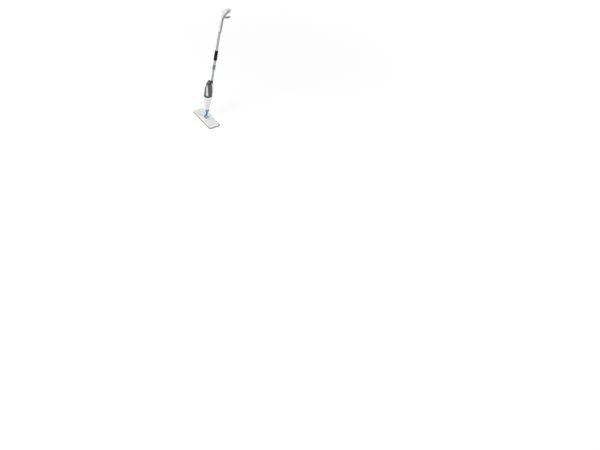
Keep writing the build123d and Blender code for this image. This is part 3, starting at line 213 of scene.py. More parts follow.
class MopSoftSizes(bpy.types.PropertyGroup):
    """Sizes of the soft pieces."""

    tuft_pitch: length_of("Tuft pitch", "Distance between two rows of the pad's tufts", 0.008)
    tuft_depth: length_of("Tuft depth", "Height of a tuft above the valleys between the rows", 0.0020)
    pad_edge: length_of("Pad edge", "Radius of the pad's soft edge", 0.003)
    stitch_pitch: length_of("Stitch pitch", "Distance from one stitch of the binding to the next", 0.004)
    stitch_radius: length_of("Stitch radius", "Half-thickness of the sewing thread", 0.0003)
    pucker: length_of("Pucker", "How far the binding draws in at each stitch", 0.00018)
    grip_swell: length_of("Grip swell", "How far the foam stands out between its pressed rings", 0.0005)


class MopStage(bpy.types.PropertyGroup):
    """Camera and lamps round the mop."""

    azimuth: angle_of("Azimuth", "Camera's direction round the mop", 65.6)
    height: angle_of("Elevation", "Camera's angle above the floor", 28.4)
    distance: length_of("Distance", "Camera to the middle of the stick", 8.529)
    aim_azimuth: angle_of("Aim azimuth", "Direction the camera looks back from", 59.0)
    aim_height: angle_of("Aim elevation", "Slope of the camera's view", 39.2)
    lens: number_of("Lens", "Focal length in millimetres", 50.0, 1.0)
    world_light: number_of("Sky light", "Strength of the even light from all round", 0.50)
    key_light: number_of("Key light", "Power of the large lamp, in watts", 208.0)
    strip_light: number_of("Strip light", "Power of the tall strip lamps, in watts", 48.0)


# ---- Shader arithmetic ----------------------------------------------------------------------------
class Value:
    """A shader socket that takes part in Python sums: each operator adds one Math node."""

    def __init__(self, nodes, socket):
        self.nodes = nodes
        self.socket = socket

    def maths(self, operation, *others):
        """One Math node on this socket and others."""
        return self.nodes.node("ShaderNodeMath", {"operation": operation}, [self, *others])

    def __add__(self, other):
        return self.maths("ADD", other)

    def __radd__(self, other):
        return self.maths("ADD", other)

    def __sub__(self, other):
        return self.maths("SUBTRACT", other)

    def __rsub__(self, other):
        return self.nodes.node("ShaderNodeMath", {"operation": "SUBTRACT"}, [other, self])

    def __mul__(self, other):
        return self.maths("MULTIPLY", other)

    def __rmul__(self, other):
        return self.maths("MULTIPLY", other)

    def __abs__(self):
        return self.maths("ABSOLUTE")

    def sine(self):
        """The sine of this socket."""
        return self.maths("SINE")

    def step(self, low, high):
        """Smoothly from 0 at low to 1 at high."""
        smooth = {"interpolation_type": "SMOOTHSTEP"}
        return self.nodes.node("ShaderNodeMapRange", smooth, [self, low, high, 0.0, 1.0])


FINISH_NAME = "mop_{}"


def finish_named(slot):
    """The finish made for a material slot."""
    return bpy.data.materials[FINISH_NAME.format(slot)]


class Nodes:
    """A node tree under construction. node() adds any node; Values link them."""

    def __init__(self, tree):
        self.tree = tree

    def node(self, kind, settings, inputs, output=0):
        """Adds a node: its settings come first, then the values or links of its sockets, by place or name."""
        made = self.tree.nodes.new(kind)
        for key, value in settings.items():
            setattr(made, key, value)
        pairs = inputs.items() if isinstance(inputs, dict) else enumerate(inputs)
        for key, value in pairs:
            self.feed(made.inputs[key], value)
        return Value(self, made.outputs[output])

    def feed(self, socket, value):
        """Links a Value to a socket, or sets the socket's own number or colour."""
        if isinstance(value, Value):
            self.tree.links.new(value.socket, socket)
        elif socket.type == "RGBA":
            socket.default_value = (*value, 1.0)
        else:
            socket.default_value = value

    def seen(self):
        """1 for the camera's rays, also in gloss and through clear pieces, and 0 for all others."""
        camera, gloss, glass = (self.node("ShaderNodeLightPath", {}, {}, ray) for ray in SEEING_RAYS)
        return camera.maths("MAXIMUM", gloss).maths("MAXIMUM", glass)


class Finish(Nodes):
    """A material under construction, with the patterns that the finishes share."""

    def __init__(self, name):
        self.material = bpy.data.materials.new(FINISH_NAME.format(name))
        self.material.use_nodes = True
        super().__init__(self.material.node_tree)
        self.shader = self.tree.nodes["Principled BSDF"]

    def places(self, scale=(1.0, 1.0, 1.0), turn=(0.0, 0.0, 0.0)):
        """Object coordinates in metres, stretched by scale after a turn."""
        coordinates = self.node("ShaderNodeTexCoord", {}, {}, "Object")
        return self.node("ShaderNodeMapping", {}, {"Vector": coordinates, "Rotation": turn, "Scale": scale})

    def own_map(self):
        """The piece's own UV map, in metres."""
        return self.node("ShaderNodeTexCoord", {}, {}, "UV")

    def axis(self, vector, name):
        """One coordinate of a vector, by its letter."""
        return self.node("ShaderNodeSeparateXYZ", {}, [vector], name)

    def noise(self, vector, scale, detail=3.0, rough=0.5):
        """Soft noise of the given number of cells per metre, from 0 to 1."""
        inputs = {"Vector": vector, "Scale": scale, "Detail": detail, "Roughness": rough}
        return self.node("ShaderNodeTexNoise", {}, inputs)

    def cells(self, vector, scale):
        """Distance inside irregular cells of the given number per metre."""
        return self.node("ShaderNodeTexVoronoi", {"feature": "F1"}, {"Vector": vector, "Scale": scale})

    def mix(self, factor, first, second):
        """A colour between two colours."""
        return self.node("ShaderNodeMix", {"data_type": "RGBA"}, {0: factor, 6: first, 7: second}, 2)

    def bump(self, height, depth):
        """Feeds the normal from a height of 0 to 1 that stands for depth in metres."""
        normal = self.node("ShaderNodeBump", {}, {"Strength": 1.0, "Distance": depth, "Height": height})
        self.feed(self.shader.inputs["Normal"], normal)

    def set(self, **sockets):
        """Sets or links sockets of the main shader; an underscore stands for a space."""
        for name, value in sockets.items():
            self.feed(self.shader.inputs[name.replace("_", " ")], value)


def shade(colour, factor):
    """A colour made darker or lighter by a factor."""
    return tuple(min(1.0, channel * factor) for channel in colour)


# ---- Finishes -------------------------------------------------------------------------------------
STICK_TURN = (math.atan2(STICK_UP[1], STICK_UP[2]), 0.0, 0.0)


def moulded(name, colour, rough, coat=0.0, dust=0.10):
    """Moulded plastic: a fine spark-eroded grain, slow flow marks, and dust low down and in scuffs."""
    finish = Finish(name)
    places = finish.places()
    flow = finish.noise(places, scale=14.0, detail=2.0)
    grain = finish.noise(places, scale=2600.0, detail=2.0, rough=0.6)
    streaks = finish.places(scale=(9.0, 240.0, 60.0), turn=(0.5, 0.2, 0.3))
    scuffs = finish.noise(streaks, scale=1.0, detail=4.0, rough=0.65).step(0.60, 0.74)
    low = 1.0 - finish.axis(places, "Z").step(0.0, 0.35)
    worn = scuffs * 0.5 + low * flow * 0.5
    tinted = finish.mix(flow.step(0.3, 0.7), shade(colour, 0.96), shade(colour, 1.03))
    finish.set(
        Base_Color=finish.mix(worn * dust * 2.0, tinted, shade(colour, 0.72)),
        Roughness=rough + 0.07 * grain + 0.16 * scuffs,
        Coat_Weight=coat,
        Coat_Roughness=0.12,
    )
    finish.bump(grain * 0.7 + flow * 0.3, 0.00006)
    return finish.material


def lacquered(name, colour):
    """Lacquered tube: faint draw lines along the stick, orange peel, and light scratches round it."""
    finish = Finish(name)
    drawn = finish.noise(finish.places((900.0, 900.0, 6.0), STICK_TURN), scale=1.0, detail=2.0)
    peel = finish.noise(finish.places(), scale=420.0, detail=2.0)
    round_tube = finish.places(scale=(30.0, 30.0, 2400.0), turn=STICK_TURN)
    rings = finish.noise(round_tube, scale=1.0, detail=3.0, rough=0.6).step(0.62, 0.72)
    finish.set(
        Base_Color=finish.mix(drawn * 0.5 + rings * 0.3, shade(colour, 1.06), shade(colour, 0.82)),
        Metallic=0.35,
        Roughness=0.26 + 0.10 * drawn + 0.22 * rings,
        Coat_Weight=0.5,
        Coat_Roughness=0.08,
    )
    finish.bump(peel * 0.6 + drawn * 0.4, 0.00003)
    return finish.material


def smoked(name, colour, clear):
    """Smoked clear plastic: glossy, with faint flow lines up the wall and a painted highlight band up each
    side.

    A painted highlight band lies at the highlight angle to each side of the front. It fades round the tank
    and at its ends.
    """
    finish = Finish(name)
    places = finish.places()
    flow = finish.noise(finish.places((40.0, 40.0, 7.0)), scale=1.0, detail=3.0)
    specks = finish.noise(places, scale=900.0, detail=2.0).step(0.70, 0.78)
    up = finish.axis(places, "Z")
    forward = TANK_AXIS_Y + TANK_LEAN * (up - TANK_AXIS_Z) - finish.axis(places, "Y")
    angle = abs(finish.axis(places, "X")).maths("ARCTAN2", forward)
    # painted highlight: a pale band to each side of the front takes the clear colour, in place of a strip
    # light's reflection
    band = 1.0 - abs(angle - HIGHLIGHT_ANGLE).step(*HIGHLIGHT_FADE)
    ends = up.step(*HIGHLIGHT_FOOT) * (1.0 - up.step(*HIGHLIGHT_HEAD))
    sight = band * ends * (0.82 + 0.18 * flow)
    tinted = finish.mix(flow, shade(colour, 0.75), shade(colour, 1.4))
    finish.set(
        Base_Color=finish.mix(sight, tinted, clear),
        Alpha=0.86 + 0.12 * flow,
        Roughness=0.06 + 0.05 * flow + 0.25 * specks,
        Coat_Weight=0.6,
        Coat_Roughness=0.03,
    )
    finish.bump(flow, 0.00025)
    return finish.material


def foam(name, colour):
    """Closed-cell foam: small rounded cells, dull, with a paler bloom where hands rub it."""
    finish = Finish(name)
    places = finish.places()
    cells = finish.cells(places, scale=1500.0)
    rubbed = finish.noise(places, scale=35.0, detail=3.0).step(0.45, 0.75)
    finish.set(
        Base_Color=finish.mix(rubbed * 0.5, colour, shade(colour, 2.2)),
        Roughness=0.94 - 0.10 * rubbed,
        Specular_IOR_Level=0.05,
        Sheen_Weight=0.01,
    )
    finish.bump(cells * 1.4, 0.0002)
    return finish.material


def pile(name, colour):
    """Microfibre pile: curled loops in rows, with painted shade in the valleys between them, and a soft
    sheen.
    """
    finish = Finish(name)
    places = finish.places()
    loops = finish.cells(finish.places((1.0, 1.6, 1.0)), scale=950.0)
    fibres = finish.noise(finish.places((1.0, 3.0, 1.0)), scale=2200.0, detail=3.0, rough=0.7)
    patches = finish.noise(places, scale=22.0, detail=2.0)
    finish.set(
        # painted shade: the colour darkens where the loops' height falls into the valleys
        Base_Color=finish.mix(loops * 0.9 + patches * 0.25, shade(colour, 1.05), shade(colour, 0.62)),
        Roughness=0.95 - 0.08 * fibres,
        Sheen_Weight=0.35,
        Sheen_Roughness=0.5,
        Specular_IOR_Level=0.2,
    )
    finish.bump((1.0 - loops) * 0.7 + fibres * 0.3, 0.0005)
    return finish.material


def woven_tape(name, colour):
    """Woven edge tape: ribs across it, a twill between them, lint, and painted shade at the head's two ends.
    """
    finish = Finish(name)
    own = finish.own_map()
    run = finish.axis(own, "X")
    round_edge = finish.axis(own, "Y")
    ribs = (run * (2.0 * math.pi / RIB_PITCH)).sine() * 0.5 + 0.5
    twill = ((run + round_edge * 1.4) * (2.0 * math.pi / TWILL_PITCH)).sine() * 0.5 + 0.5
    places = finish.places()
    lint = finish.noise(places, scale=260.0, detail=3.0, rough=0.65)
    patches = finish.noise(places, scale=40.0, detail=2.0)
    # painted shade: the tape darkens at the head's two short ends, broken up by soft patches
    end_shade = abs(finish.axis(places, "X")).step(*TAPE_END_SHADE) * (0.55 + 0.5 * patches)
    woven = finish.mix(ribs * 0.45 + lint * 0.4, shade(colour, 1.15), shade(colour, 0.60))
    finish.set(
        Base_Color=finish.mix(end_shade, woven, shade(colour, 0.30)),
        Roughness=0.86 + 0.10 * twill,
        Sheen_Weight=0.03,
        Specular_IOR_Level=0.05,
    )
    finish.bump(ribs * 0.6 + twill * 0.4, 0.00022)
    return finish.material


def thread(name, colour):
    """Sewing thread: two plies twisted round each other, with painted shade in the grooves between them."""
    finish = Finish(name)
    places = finish.places()
    across = finish.axis(places, "X") + finish.axis(places, "Y")
    twist = (across * (2.0 * math.pi / PLY_PITCH)).sine() * 0.5 + 0.5
    finish.set(
        # painted shade: the colour darkens where the plies' height falls into the grooves between them
        Base_Color=finish.mix(twist, shade(colour, 0.7), colour),
        Roughness=0.75 + 0.10 * twist,
        Sheen_Weight=0.2,
    )
    finish.bump(twist, 0.0001)
    return finish.material


def hook_tape(name, colour):
    """Hook tape: rows of small stiff hooks on a flat band, with painted shade between the hooks that leaves
    their tops paler.
    """
    finish = Finish(name)
    hooks = finish.cells(finish.places((1.0, 1.0, 0.2)), scale=700.0)
    finish.set(
        # painted shade: darker between the hooks and paler on their raised tops
        Base_Color=finish.mix(hooks, shade(colour, 2.2), colour),
        Roughness=0.55 + 0.25 * hooks,
    )
    finish.bump(1.0 - hooks, 0.0006)
    return finish.material


def rubber(name, colour, see_through=1.0):
    """Moulded rubber or soft hose: matt, with a bloom and fine mould lines."""
    finish = Finish(name)
    places = finish.places()
    bloom = finish.noise(places, scale=90.0, detail=3.0)
    lines = finish.noise(finish.places((200.0, 200.0, 1200.0)), scale=1.0, detail=2.0)
    finish.set(
        Base_Color=finish.mix(bloom.step(0.4, 0.8) * 0.5, colour, tuple(0.8 * c + 0.05 for c in colour)),
        Roughness=0.55 + 0.25 * bloom,
        Alpha=see_through,
    )
    finish.bump(lines, 0.00005)
    return finish.material


def turned(name, colour, rough):
    """Turned or drawn metal: fine lines, small bright and dull patches."""
    finish = Finish(name)
    lines = finish.noise(finish.places((4000.0, 300.0, 300.0)), scale=1.0, detail=2.0)
    patches = finish.noise(finish.places(), scale=180.0, detail=3.0)
    finish.set(
        Base_Color=finish.mix(patches, shade(colour, 0.85), shade(colour, 1.08)),
        Metallic=1.0,
        Roughness=rough + 0.14 * lines + 0.10 * patches,
    )
    finish.bump(lines, 0.00004)
    return finish.material


def make_finishes(colours):
    """Every material slot's finish, by the slot's name."""
    return {
        "white_shell": moulded("white_shell", colours.white, rough=0.24, coat=0.35),
        "head_white": moulded("head_white", colours.head, rough=0.30, coat=0.25, dust=0.14),
        "panel_grey": moulded("panel_grey", colours.panel, rough=0.48, coat=0.0, dust=0.16),
        "handle_grey": moulded("handle_grey", colours.handle, rough=0.46),
        "lever_blue": moulded("lever_blue", colours.lever, rough=0.32, coat=0.2),
        "neck_blue": moulded("neck_blue", colours.link, rough=0.30, coat=0.2),
        "yoke_blue": moulded("yoke_blue", colours.yoke, rough=0.34, coat=0.1, dust=0.16),
        "fork_grey": moulded("fork_grey", colours.fork, rough=0.42),
        "dark_plastic": moulded("dark_plastic", colours.hood, rough=0.26, coat=0.12, dust=0.05),
        "moulded_inner": moulded("moulded_inner", NATURAL, rough=0.50),
        "tube_grey": lacquered("tube_grey", colours.tube),
        "smoked_clear": smoked("smoked_clear", colours.smoke, colours.sight),
        "black_foam": foam("black_foam", colours.foam),
        "microfibre": pile("microfibre", colours.pile),
        "edge_binding": woven_tape("edge_binding", colours.binding),
        "hook_tape": hook_tape("hook_tape", HOOK_BLACK),
        "rubber_black": rubber("rubber_black", RUBBER_BLACK),
        "hose_clear": rubber("hose_clear", HOSE_PALE, see_through=0.6),
        "nozzle_brass": turned("nozzle_brass", BRASS, rough=0.22),
        "steel": turned("steel", STEEL, rough=0.24),
        "rod_metal": turned("rod_metal", ROD_METAL, rough=0.30),
    }


# ---- Surfaces -------------------------------------------------------------------------------------
def surface(name, points, own_map):
    """A mesh object on a grid of points, of rows by columns by 3: each cell becomes one four-sided face.

    In both directions the last line of points joins the first. own_map holds each point's place in the
    piece's UV map, in metres. A cell across a seam takes the far side's place from one step further on, so
    that the map runs on without a jump.
    """
    rows, columns = points.shape[:2]
    row = np.arange(rows)[:, None]
    column = np.arange(columns)[None, :]
    next_row, next_column = row + 1, column + 1
    corners = [(row, column), (row, next_column), (next_row, next_column), (next_row, column)]
    faces = np.stack([(r % rows) * columns + c % columns + 0 * (row + column) for r, c in corners], axis=-1)
    step_u = own_map[-1, 0] * rows / (rows - 1) - own_map[0, 0] / (rows - 1) - own_map[0, 0]
    step_v = own_map[0, -1] * columns / (columns - 1) - own_map[0, 0] / (columns - 1) - own_map[0, 0]
    places = [
        own_map[(r % rows) + 0 * column, (c % columns) + 0 * row]
        + (r // rows)[..., None] * step_u
        + (c // columns)[..., None] * step_v
        for r, c in corners
    ]
    mesh = bpy.data.meshes.new(name)
    mesh.from_pydata(points.reshape(-1, 3).tolist(), [], faces.reshape(-1, 4).tolist())
    layer = mesh.uv_layers.new(name="own")
    layer.data.foreach_set("uv", np.stack(places, axis=-2).astype(np.float32).ravel())
    return finished(name, mesh)


def finished(name, mesh):
    """An object of a smooth-shaded mesh at the origin, its faces turned outwards."""
    mesh.validate()
    mesh.polygons.foreach_set("use_smooth", np.ones(len(mesh.polygons), bool))
    mesh.update()
    piece = bpy.data.objects.new(name, mesh)
    bpy.context.scene.collection.objects.link(piece)
    turn_outwards(mesh)
    return piece


def turn_outwards(mesh):
    """Turns a closed mesh inside out if its signed volume is negative.

    The signed volume is the sum of the cones from the origin to the mesh's faces.
    """
    mesh.calc_loop_triangles()
    count = len(mesh.loop_triangles)
    corners = np.zeros(count * 3, np.int32)
    mesh.loop_triangles.foreach_get("vertices", corners)
    places = np.zeros(len(mesh.vertices) * 3, np.float32)
    mesh.vertices.foreach_get("co", places)
    a, b, c = places.reshape(-1, 3)[corners.reshape(-1, 3)].transpose(1, 0, 2)
    if np.einsum("ij,ij->i", a, np.cross(b, c)).sum() < 0:
        mesh.flip_normals()


def rounded_outline(length, width, corner, step):
    """Points round a rectangle with round corners, and the outward direction at each.

    The outline is the corner centres' rectangle moved outwards by corner: along a straight side the outward
    direction is the side's normal, and round a corner it turns by a quarter with the arc length.
    """
    half_x, half_y = length / 2 - corner, width / 2 - corner
    arc = corner * math.pi / 2
    sides = np.array([2 * half_y, arc, 2 * half_x, arc] * 2)
    ends = np.cumsum(sides)
    count = int(round(ends[-1] / step))
    run = np.arange(count) * ends[-1] / count
    piece = np.searchsorted(ends, run, side="right")
    share = (run - (ends - sides)[piece]) / sides[piece]
    quarter = piece // 2 % 4
    turning = np.where(piece % 2 == 1, share, 0.0)
    angle = (quarter + turning) * math.pi / 2
    outward = np.stack([np.cos(angle), np.sin(angle)], axis=-1)
    centres = np.array([[1, -1], [1, 1], [-1, 1], [-1, -1]]) * [half_x, half_y]
    start = centres[quarter]
    end = centres[(quarter + 1) % 4]
    straight = np.where(piece % 2 == 0, share, 1.0)[:, None]
    base = start + (end - start) * straight
    return base + outward * corner, outward, run


def body_of_node(node):
    """The moving body that a node belongs to."""
    return frame["nodes"][node]["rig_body"]


def settle(piece, node, finish):
    """Puts a new piece in a node's place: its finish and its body."""
    piece.data.materials.append(finish)
    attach(piece, body_of_node(node))
    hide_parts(node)
    return piece


# ---- Pad ------------------------------------------------------------------------------------------
def stations(half, step, edge):
    """Places from -half to half: even steps, and closer ones near both ends, where the edge curves."""
    inner = np.linspace(-(half - edge), half - edge, int(round(2 * (half - edge) / step)) + 1)
    curve = half - edge * (1 - np.sin(np.linspace(0, math.pi / 2, EDGE_STEPS)[1:]))
    return np.concatenate([-curve[::-1], inner, curve])


def round_corners(x, y, half_x, half_y, corner):
    """Draws a rectangle's corners in to quarter circles.

    In a corner's square a point at (a, b) from the inner corner moves along its own line to the distance of
    the larger of a and b, so the square's outer edges become the arc and its inner edges stay.
    """
    a = np.maximum(np.abs(x) - (half_x - corner), 0)
    b = np.maximum(np.abs(y) - (half_y - corner), 0)
    far = np.hypot(a, b)
    share = np.where(far > 0, np.maximum(a, b) / np.maximum(far, 1e-9), 1.0)
    inside = (a > 0) & (b > 0)
    new_x = np.sign(x) * (half_x - corner + a * share)
    new_y = np.sign(y) * (half_y - corner + b * share)
    return np.where(inside, new_x, x), np.where(inside, new_y, y)


def make_pad(sizes, finish):
    """The microfibre pad: a flat cushion with soft edges and rows of tufts on its underside.

    Half its thickness at a distance d from its edge is that of a quarter circle, h * sqrt(1 - (1 - d/e)^2)
    within the edge radius e, and h beyond it. Underneath, the tufts rise and fall as the product of two
    cosines, one across the rows and one along them, half a pitch on in every second row.
    """
    low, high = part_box("mop_pad")
    half_x, half_y = high[0], high[1]
    top, bottom = high[2], low[2]
    edge = sizes.pad_edge
    x, y = np.meshgrid(stations(half_x, PAD_STEP_X, edge), stations(half_y, PAD_STEP_Y, edge), indexing="ij")
    depth = np.minimum(half_x - np.abs(x), half_y - np.abs(y))
    x, y = round_corners(x, y, half_x, half_y, PAD_CORNER)
    share = np.clip(depth / edge, 0, 1)
    swell = np.sqrt(1 - (1 - share) ** 2)
    middle = (top + bottom) / 2
    rows = y / sizes.tuft_pitch
    shift = np.where(np.floor(rows + 0.5) % 2 == 0, 0.0, 0.5)
    across = 0.5 + 0.5 * np.cos(2 * math.pi * rows)
    along = 0.7 + 0.3 * np.cos(2 * math.pi * (x / sizes.tuft_pitch + shift))
    valleys = sizes.tuft_depth * (1 - across * along)
    upper = middle + (top - middle - PAD_ROOM) * swell
    lower = middle - (middle - bottom) * swell + valleys * swell
    count = x.size
    rim = np.zeros(x.shape, bool)
    rim[[0, -1], :] = True
    rim[:, [0, -1]] = True
    numbers = np.arange(count).reshape(x.shape)
    under = numbers + count
    under[rim] = numbers[rim]

    def cells(grid):
        """The four-sided cells of a grid of point numbers."""
        return np.stack([grid[:-1, :-1], grid[1:, :-1], grid[1:, 1:], grid[:-1, 1:]], axis=-1).reshape(-1, 4)

    faces = np.concatenate([cells(numbers), cells(under)[:, ::-1]])
    points = np.concatenate([np.stack([x, y, side], axis=-1).reshape(-1, 3) for side in (upper, lower)])
    used, renumbered = np.unique(faces, return_inverse=True)
    mesh = bpy.data.meshes.new("pad_pile")
    mesh.from_pydata(points[used].tolist(), [], renumbered.reshape(-1, 4).tolist())
    piece = finished("pad_pile", mesh)
    return settle(piece, "mop_pad", finish)


def binding_outline(step):
    """The line through the middle of the pad's binding, and how far the binding reaches each side of it."""
    low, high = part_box("pad_binding")
    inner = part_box("mop_pad")[1]
    width = high[0] - inner[0]
    corner = BINDING_CORNER - width / 2
    line, outward, run = rounded_outline(2 * high[0] - width, 2 * high[1] - width, corner, step)
    return line, outward, run, width / 2, (high[2] - low[2]) / 2, (high[2] + low[2]) / 2


def make_binding(sizes, finish):
    """The tape folded round the pad's edge, drawn in a little at each stitch.

    Its section is a superellipse |a|^p + |b|^p = 1 of the tape's half-width and half-height, with the binding
    power for p, carried round the pad's edge. The half-height shrinks by the pucker at each stitch, as a
    raised cosine of the run.
    """
    line, outward, run, half_w, half_h, middle = binding_outline(sizes.stitch_pitch / 4)
    turn = np.linspace(0, 2 * math.pi, BINDING_SIDES, endpoint=False)[None, :]
    across = np.sign(np.cos(turn)) * np.abs(np.cos(turn)) ** (2 / BINDING_POWER)
    up = np.sign(np.sin(turn)) * np.abs(np.sin(turn)) ** (2 / BINDING_POWER)
    drawn = sizes.pucker * (0.5 + 0.5 * np.cos(2 * math.pi * run / sizes.stitch_pitch))[:, None]
    reach = (half_w - PUCKER_ASIDE * drawn) * across
    height = middle + (half_h - drawn) * up
    level = line[:, None, :] + outward[:, None, :] * reach[..., None]
    points = np.concatenate([level, height[..., None]], axis=-1)
    own = np.stack([run[:, None] + 0 * turn, turn * (half_w + half_h) / 2 + 0 * run[:, None]], axis=-1)
    piece = surface("edge_tape", points, own)
    return settle(piece, "pad_binding", finish)


def make_stitches(sizes, finish):
    """The row of stitches on top of the binding: each is a short closed spindle along the tape.

    A stitch's radius along its length is r * (1 - t^4) for t from -1 to 1, and its middle arches up by a
    share of r that falls off as 1 - t^2.
    """
    line, outward, _, _, half_h, middle = binding_outline(sizes.stitch_pitch)
    radius = sizes.stitch_radius
    t = np.linspace(-STITCH_END, STITCH_END, STITCH_RINGS)[:, None]
    turn = np.linspace(0, 2 * math.pi, STITCH_SIDES, endpoint=False)[None, :]
    thick = radius * (1 - t**4)
    along = np.stack([-outward[:, 1], outward[:, 0]], axis=-1)
    forward = (t * STITCH_REACH * sizes.stitch_pitch + 0 * turn).ravel()
    aside = (thick * np.cos(turn)).ravel()
    rise = (thick * np.sin(turn) + STITCH_ARCH * radius * (1 - t**2)).ravel()
    level = line[:, None, :] + along[:, None, :] * forward[None, :, None]
    level = level + outward[:, None, :] * aside[None, :, None]
    height = np.broadcast_to(middle + half_h - STITCH_SINK * radius + rise, (len(line), rise.size))
    points = np.concatenate([level, height[..., None]], axis=-1)
    ring = np.arange(STITCH_RINGS - 1)[:, None] * STITCH_SIDES
    side = np.arange(STITCH_SIDES)[None, :]
    next_ring, next_side = ring + STITCH_SIDES, (side + 1) % STITCH_SIDES
    walls = np.stack([ring + side, ring + next_side, next_ring + next_side, next_ring + side], axis=-1)
    offsets = (np.arange(len(line)) * STITCH_RINGS * STITCH_SIDES)[:, None, None]
    faces = (walls.reshape(-1, 4)[None] + offsets).reshape(-1, 4).tolist()
    first = np.arange(STITCH_SIDES)[::-1]
    last = (STITCH_RINGS - 1) * STITCH_SIDES + np.arange(STITCH_SIDES)
    faces += (np.stack([first, last])[None] + offsets).reshape(-1, STITCH_SIDES).tolist()
    mesh = bpy.data.meshes.new("tape_stitches")
    mesh.from_pydata(points.reshape(-1, 3).tolist(), [], faces)
    piece = finished("tape_stitches", mesh)
    piece.data.materials.append(finish)
    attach(piece, body_of_node("pad_binding"))
    return piece


# ---- Grip -----------------------------------------------------------------------------------------
def make_grip(sizes, finish):
    """The foam sleeve on the upper tube, with soft ends and faint pressed rings.

    Its section runs once round: up the outside, over the top end's arc, down the bore and back. Outside,
    the radius swells by the grip swell times 1 - cos^p of the height, with the ring power for p, so that the
    pressed rings divide the sleeve into equal lengths.
    """
    low = along_stick("foam_grip").min(axis=0)
    high = along_stick("foam_grip").max(axis=0)
    bore = along_stick("upper_tube")[:, 0].max() + GRIP_ROOM
    outer = high[0] - sizes.grip_swell
    edge = GRIP_EDGE
    foot, head = low[2], high[2]
    rise = np.linspace(foot + edge, head - edge, GRIP_ROWS)
    share = (rise - foot) / (head - foot)
    swell = sizes.grip_swell * (1 - np.cos(GRIP_RINGS * math.pi * share) ** GRIP_RING_POWER)
    arc = np.linspace(0, math.pi / 2, GRIP_ARC_ROWS)
    foot_arc, head_arc = arc[::-1][:-1], arc[1:]
    inner = outer - edge
    radius = np.concatenate(
        [inner + edge * np.cos(foot_arc), outer + swell, inner + edge * np.cos(head_arc), [bore, bore]]
    )
    height = np.concatenate(
        [foot + edge - edge * np.sin(foot_arc), rise, head - edge + edge * np.sin(head_arc), [head, foot]]
    )
    turn = np.linspace(0, 2 * math.pi, GRIP_SIDES, endpoint=False)[:, None]
    points = from_stick(radius * np.cos(turn), radius * np.sin(turn), height + 0 * turn)
    own = np.stack([turn * outer + 0 * height, height + 0 * turn], axis=-1)
    piece = surface("foam_sleeve", points, own)
    return settle(piece, "foam_grip", finish)


# ---- Stage ----------------------------------------------------------------------------------------
def make_floor():
    """A wide floor, white to the camera, in gloss and through clear pieces, with the mop's shadow near it."""
    bpy.ops.mesh.primitive_circle_add(vertices=FLOOR_SIDES, radius=FLOOR_R, fill_type="NGON")
    floor = bpy.context.object
    floor.name = "studio_floor"
    finish = Finish("studio_floor")
    places = finish.places()
    haze = finish.noise(places, scale=1.5, detail=2.0)
    diffuse = finish.node("ShaderNodeBsdfDiffuse", {}, {"Color": finish.mix(haze, *FLOOR_TONES)})
    glow = finish.node("ShaderNodeEmission", {}, {"Color": WHITE, "Strength": FLOOR_GLOW})
    away = finish.node("ShaderNodeVectorMath", {"operation": "LENGTH"}, [places], "Value").step(*FLOOR_FADE)
    glowing = finish.seen() * (NEAR_GLOW + (1.0 - NEAR_GLOW) * away)
    both = finish.node("ShaderNodeMixShader", {}, [glowing, diffuse, glow])
    output = finish.tree.nodes["Material Output"]
    finish.feed(output.inputs["Surface"], both)
    floor.data.materials.append(finish.material)


def make_world(strength):
    """An even sky that lights the mop, white to the camera, in gloss and through clear pieces."""
    world = bpy.data.worlds.new("studio")
    bpy.context.scene.world = world
    world.use_nodes = True
    sky = Nodes(world.node_tree)
    light = sky.tree.nodes["Background"]
    sky.feed(light.inputs["Color"], WHITE)
    sky.feed(light.inputs["Strength"], strength)
    shown = sky.node("ShaderNodeBackground", {}, {"Color": WHITE, "Strength": 1.0})
    both = sky.node("ShaderNodeMixShader", {}, [sky.seen(), Value(sky, light.outputs[0]), shown])
    sky.feed(sky.tree.nodes["World Output"].inputs["Surface"], both)


def add_lamp(name, place, target, power, width, height):
    """A rectangular lamp at place that faces target."""
    lamp = bpy.data.lights.new(name, "AREA")
    lamp.shape = "RECTANGLE"
    lamp.size, lamp.size_y = width, height
    lamp.energy = power
    holder = bpy.data.objects.new(name, lamp)
    holder.location = place
    holder.rotation_euler = (Vector(target) - Vector(place)).to_track_quat("-Z", "Y").to_euler()
    bpy.context.scene.collection.objects.link(holder)


def looking_back(azimuth, height):
    """The direction from a point to a camera at this azimuth and elevation."""
    return Vector(
        (math.sin(azimuth) * math.cos(height), -math.cos(azimuth) * math.cos(height), math.sin(height))
    )


def make_camera(stage):
    """The camera, placed from the middle of the stick."""
    camera = bpy.data.cameras.new("view")
    camera.lens = stage.lens
    camera.sensor_width = SENSOR_WIDTH
    camera.clip_end = CLIP_END
    holder = bpy.data.objects.new("view", camera)
    bpy.context.scene.collection.objects.link(holder)
    middle = Vector(PIVOT) + Vector(STICK_UP) * STICK_MIDDLE
    place = middle + stage.distance * looking_back(stage.azimuth, stage.height)
    back = looking_back(stage.aim_azimuth, stage.aim_height)
    right = Vector((0.0, 0.0, 1.0)).cross(back).normalized()
    up = back.cross(right)
    turn = Matrix((right, up, back)).transposed().to_4x4()
    holder.matrix_world = Matrix.Translation(place) @ turn
    bpy.context.scene.camera = holder


# ---- Operators ------------------------------------------------------------------------------------
class FINISHES_OT_apply(bpy.types.Operator):
    """Gives every rigid piece of the mop its finish"""

    bl_idname = "mop.finishes"
    bl_label = "Finishes"

    def execute(self, context):
        finishes = make_finishes(context.scene.mop_colours)
        for node, piece in frame["nodes"].items():
            finish = finishes[SLOTS[node]]
            if not piece.material_slots:
                piece.data.materials.append(finish)
            for place in piece.material_slots:
                place.material = finish
        return {"FINISHED"}


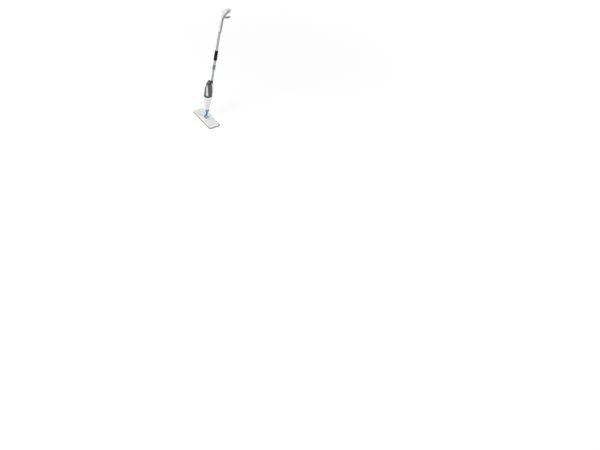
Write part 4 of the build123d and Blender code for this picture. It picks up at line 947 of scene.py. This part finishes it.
class PAD_OT_make(bpy.types.Operator):
    """Makes the microfibre pad, its binding and the binding's stitches"""

    bl_idname = "mop.pad"
    bl_label = "Pad and binding"

    def execute(self, context):
        sizes = context.scene.mop_soft
        make_pad(sizes, finish_named("microfibre"))
        make_binding(sizes, finish_named("edge_binding"))
        make_stitches(sizes, thread("tape_thread", context.scene.mop_colours.thread))
        return {"FINISHED"}


class GRIP_OT_make(bpy.types.Operator):
    """Makes the foam sleeve of the hand grip"""

    bl_idname = "mop.grip"
    bl_label = "Foam grip"

    def execute(self, context):
        make_grip(context.scene.mop_soft, finish_named("black_foam"))
        return {"FINISHED"}


class STAGE_OT_make(bpy.types.Operator):
    """Makes the floor, the sky, the lamps and the camera"""

    bl_idname = "mop.stage"
    bl_label = "Stage"

    def execute(self, context):
        stage = context.scene.mop_stage
        context.scene.view_settings.view_transform = "Standard"
        make_floor()
        make_world(stage.world_light)
        for name, place, target, power, width, height in LAMPS:
            add_lamp(name, place, target, getattr(stage, power), width, height)
        make_camera(stage)
        return {"FINISHED"}


class VIEW3D_PT_mop(bpy.types.Panel):
    """Lists the mop's operators in the 3D view's sidebar"""

    bl_idname = "VIEW3D_PT_mop"
    bl_label = "Spray mop"
    bl_space_type = "VIEW_3D"
    bl_region_type = "UI"
    bl_category = "Mop"

    def draw(self, context):
        for operator in OPERATORS:
            self.layout.operator(operator.bl_idname)
        for name, group in GROUPS.items():
            box = self.layout.box()
            for key in group.__annotations__:
                box.prop(getattr(context.scene, name), key)


GROUPS = {"mop_colours": MopColours, "mop_soft": MopSoftSizes, "mop_stage": MopStage}
OPERATORS = (FINISHES_OT_apply, PAD_OT_make, GRIP_OT_make, STAGE_OT_make)


def register():
    """Registers the property groups, operators and panel."""
    for name, group in GROUPS.items():
        bpy.utils.register_class(group)
        setattr(bpy.types.Scene, name, PointerProperty(type=group))
    for made in (*OPERATORS, VIEW3D_PT_mop):
        bpy.utils.register_class(made)


def unregister():
    """Takes back what register did, in the opposite order."""
    for made in (VIEW3D_PT_mop, *reversed(OPERATORS)):
        bpy.utils.unregister_class(made)
    for name, group in reversed(GROUPS.items()):
        delattr(bpy.types.Scene, name)
        bpy.utils.unregister_class(group)


def main():
    """Runs every operator in order."""
    register()
    bpy.ops.mop.finishes()
    bpy.ops.mop.pad()
    bpy.ops.mop.grip()
    bpy.ops.mop.stage()


if __name__ == "__main__":
    main()
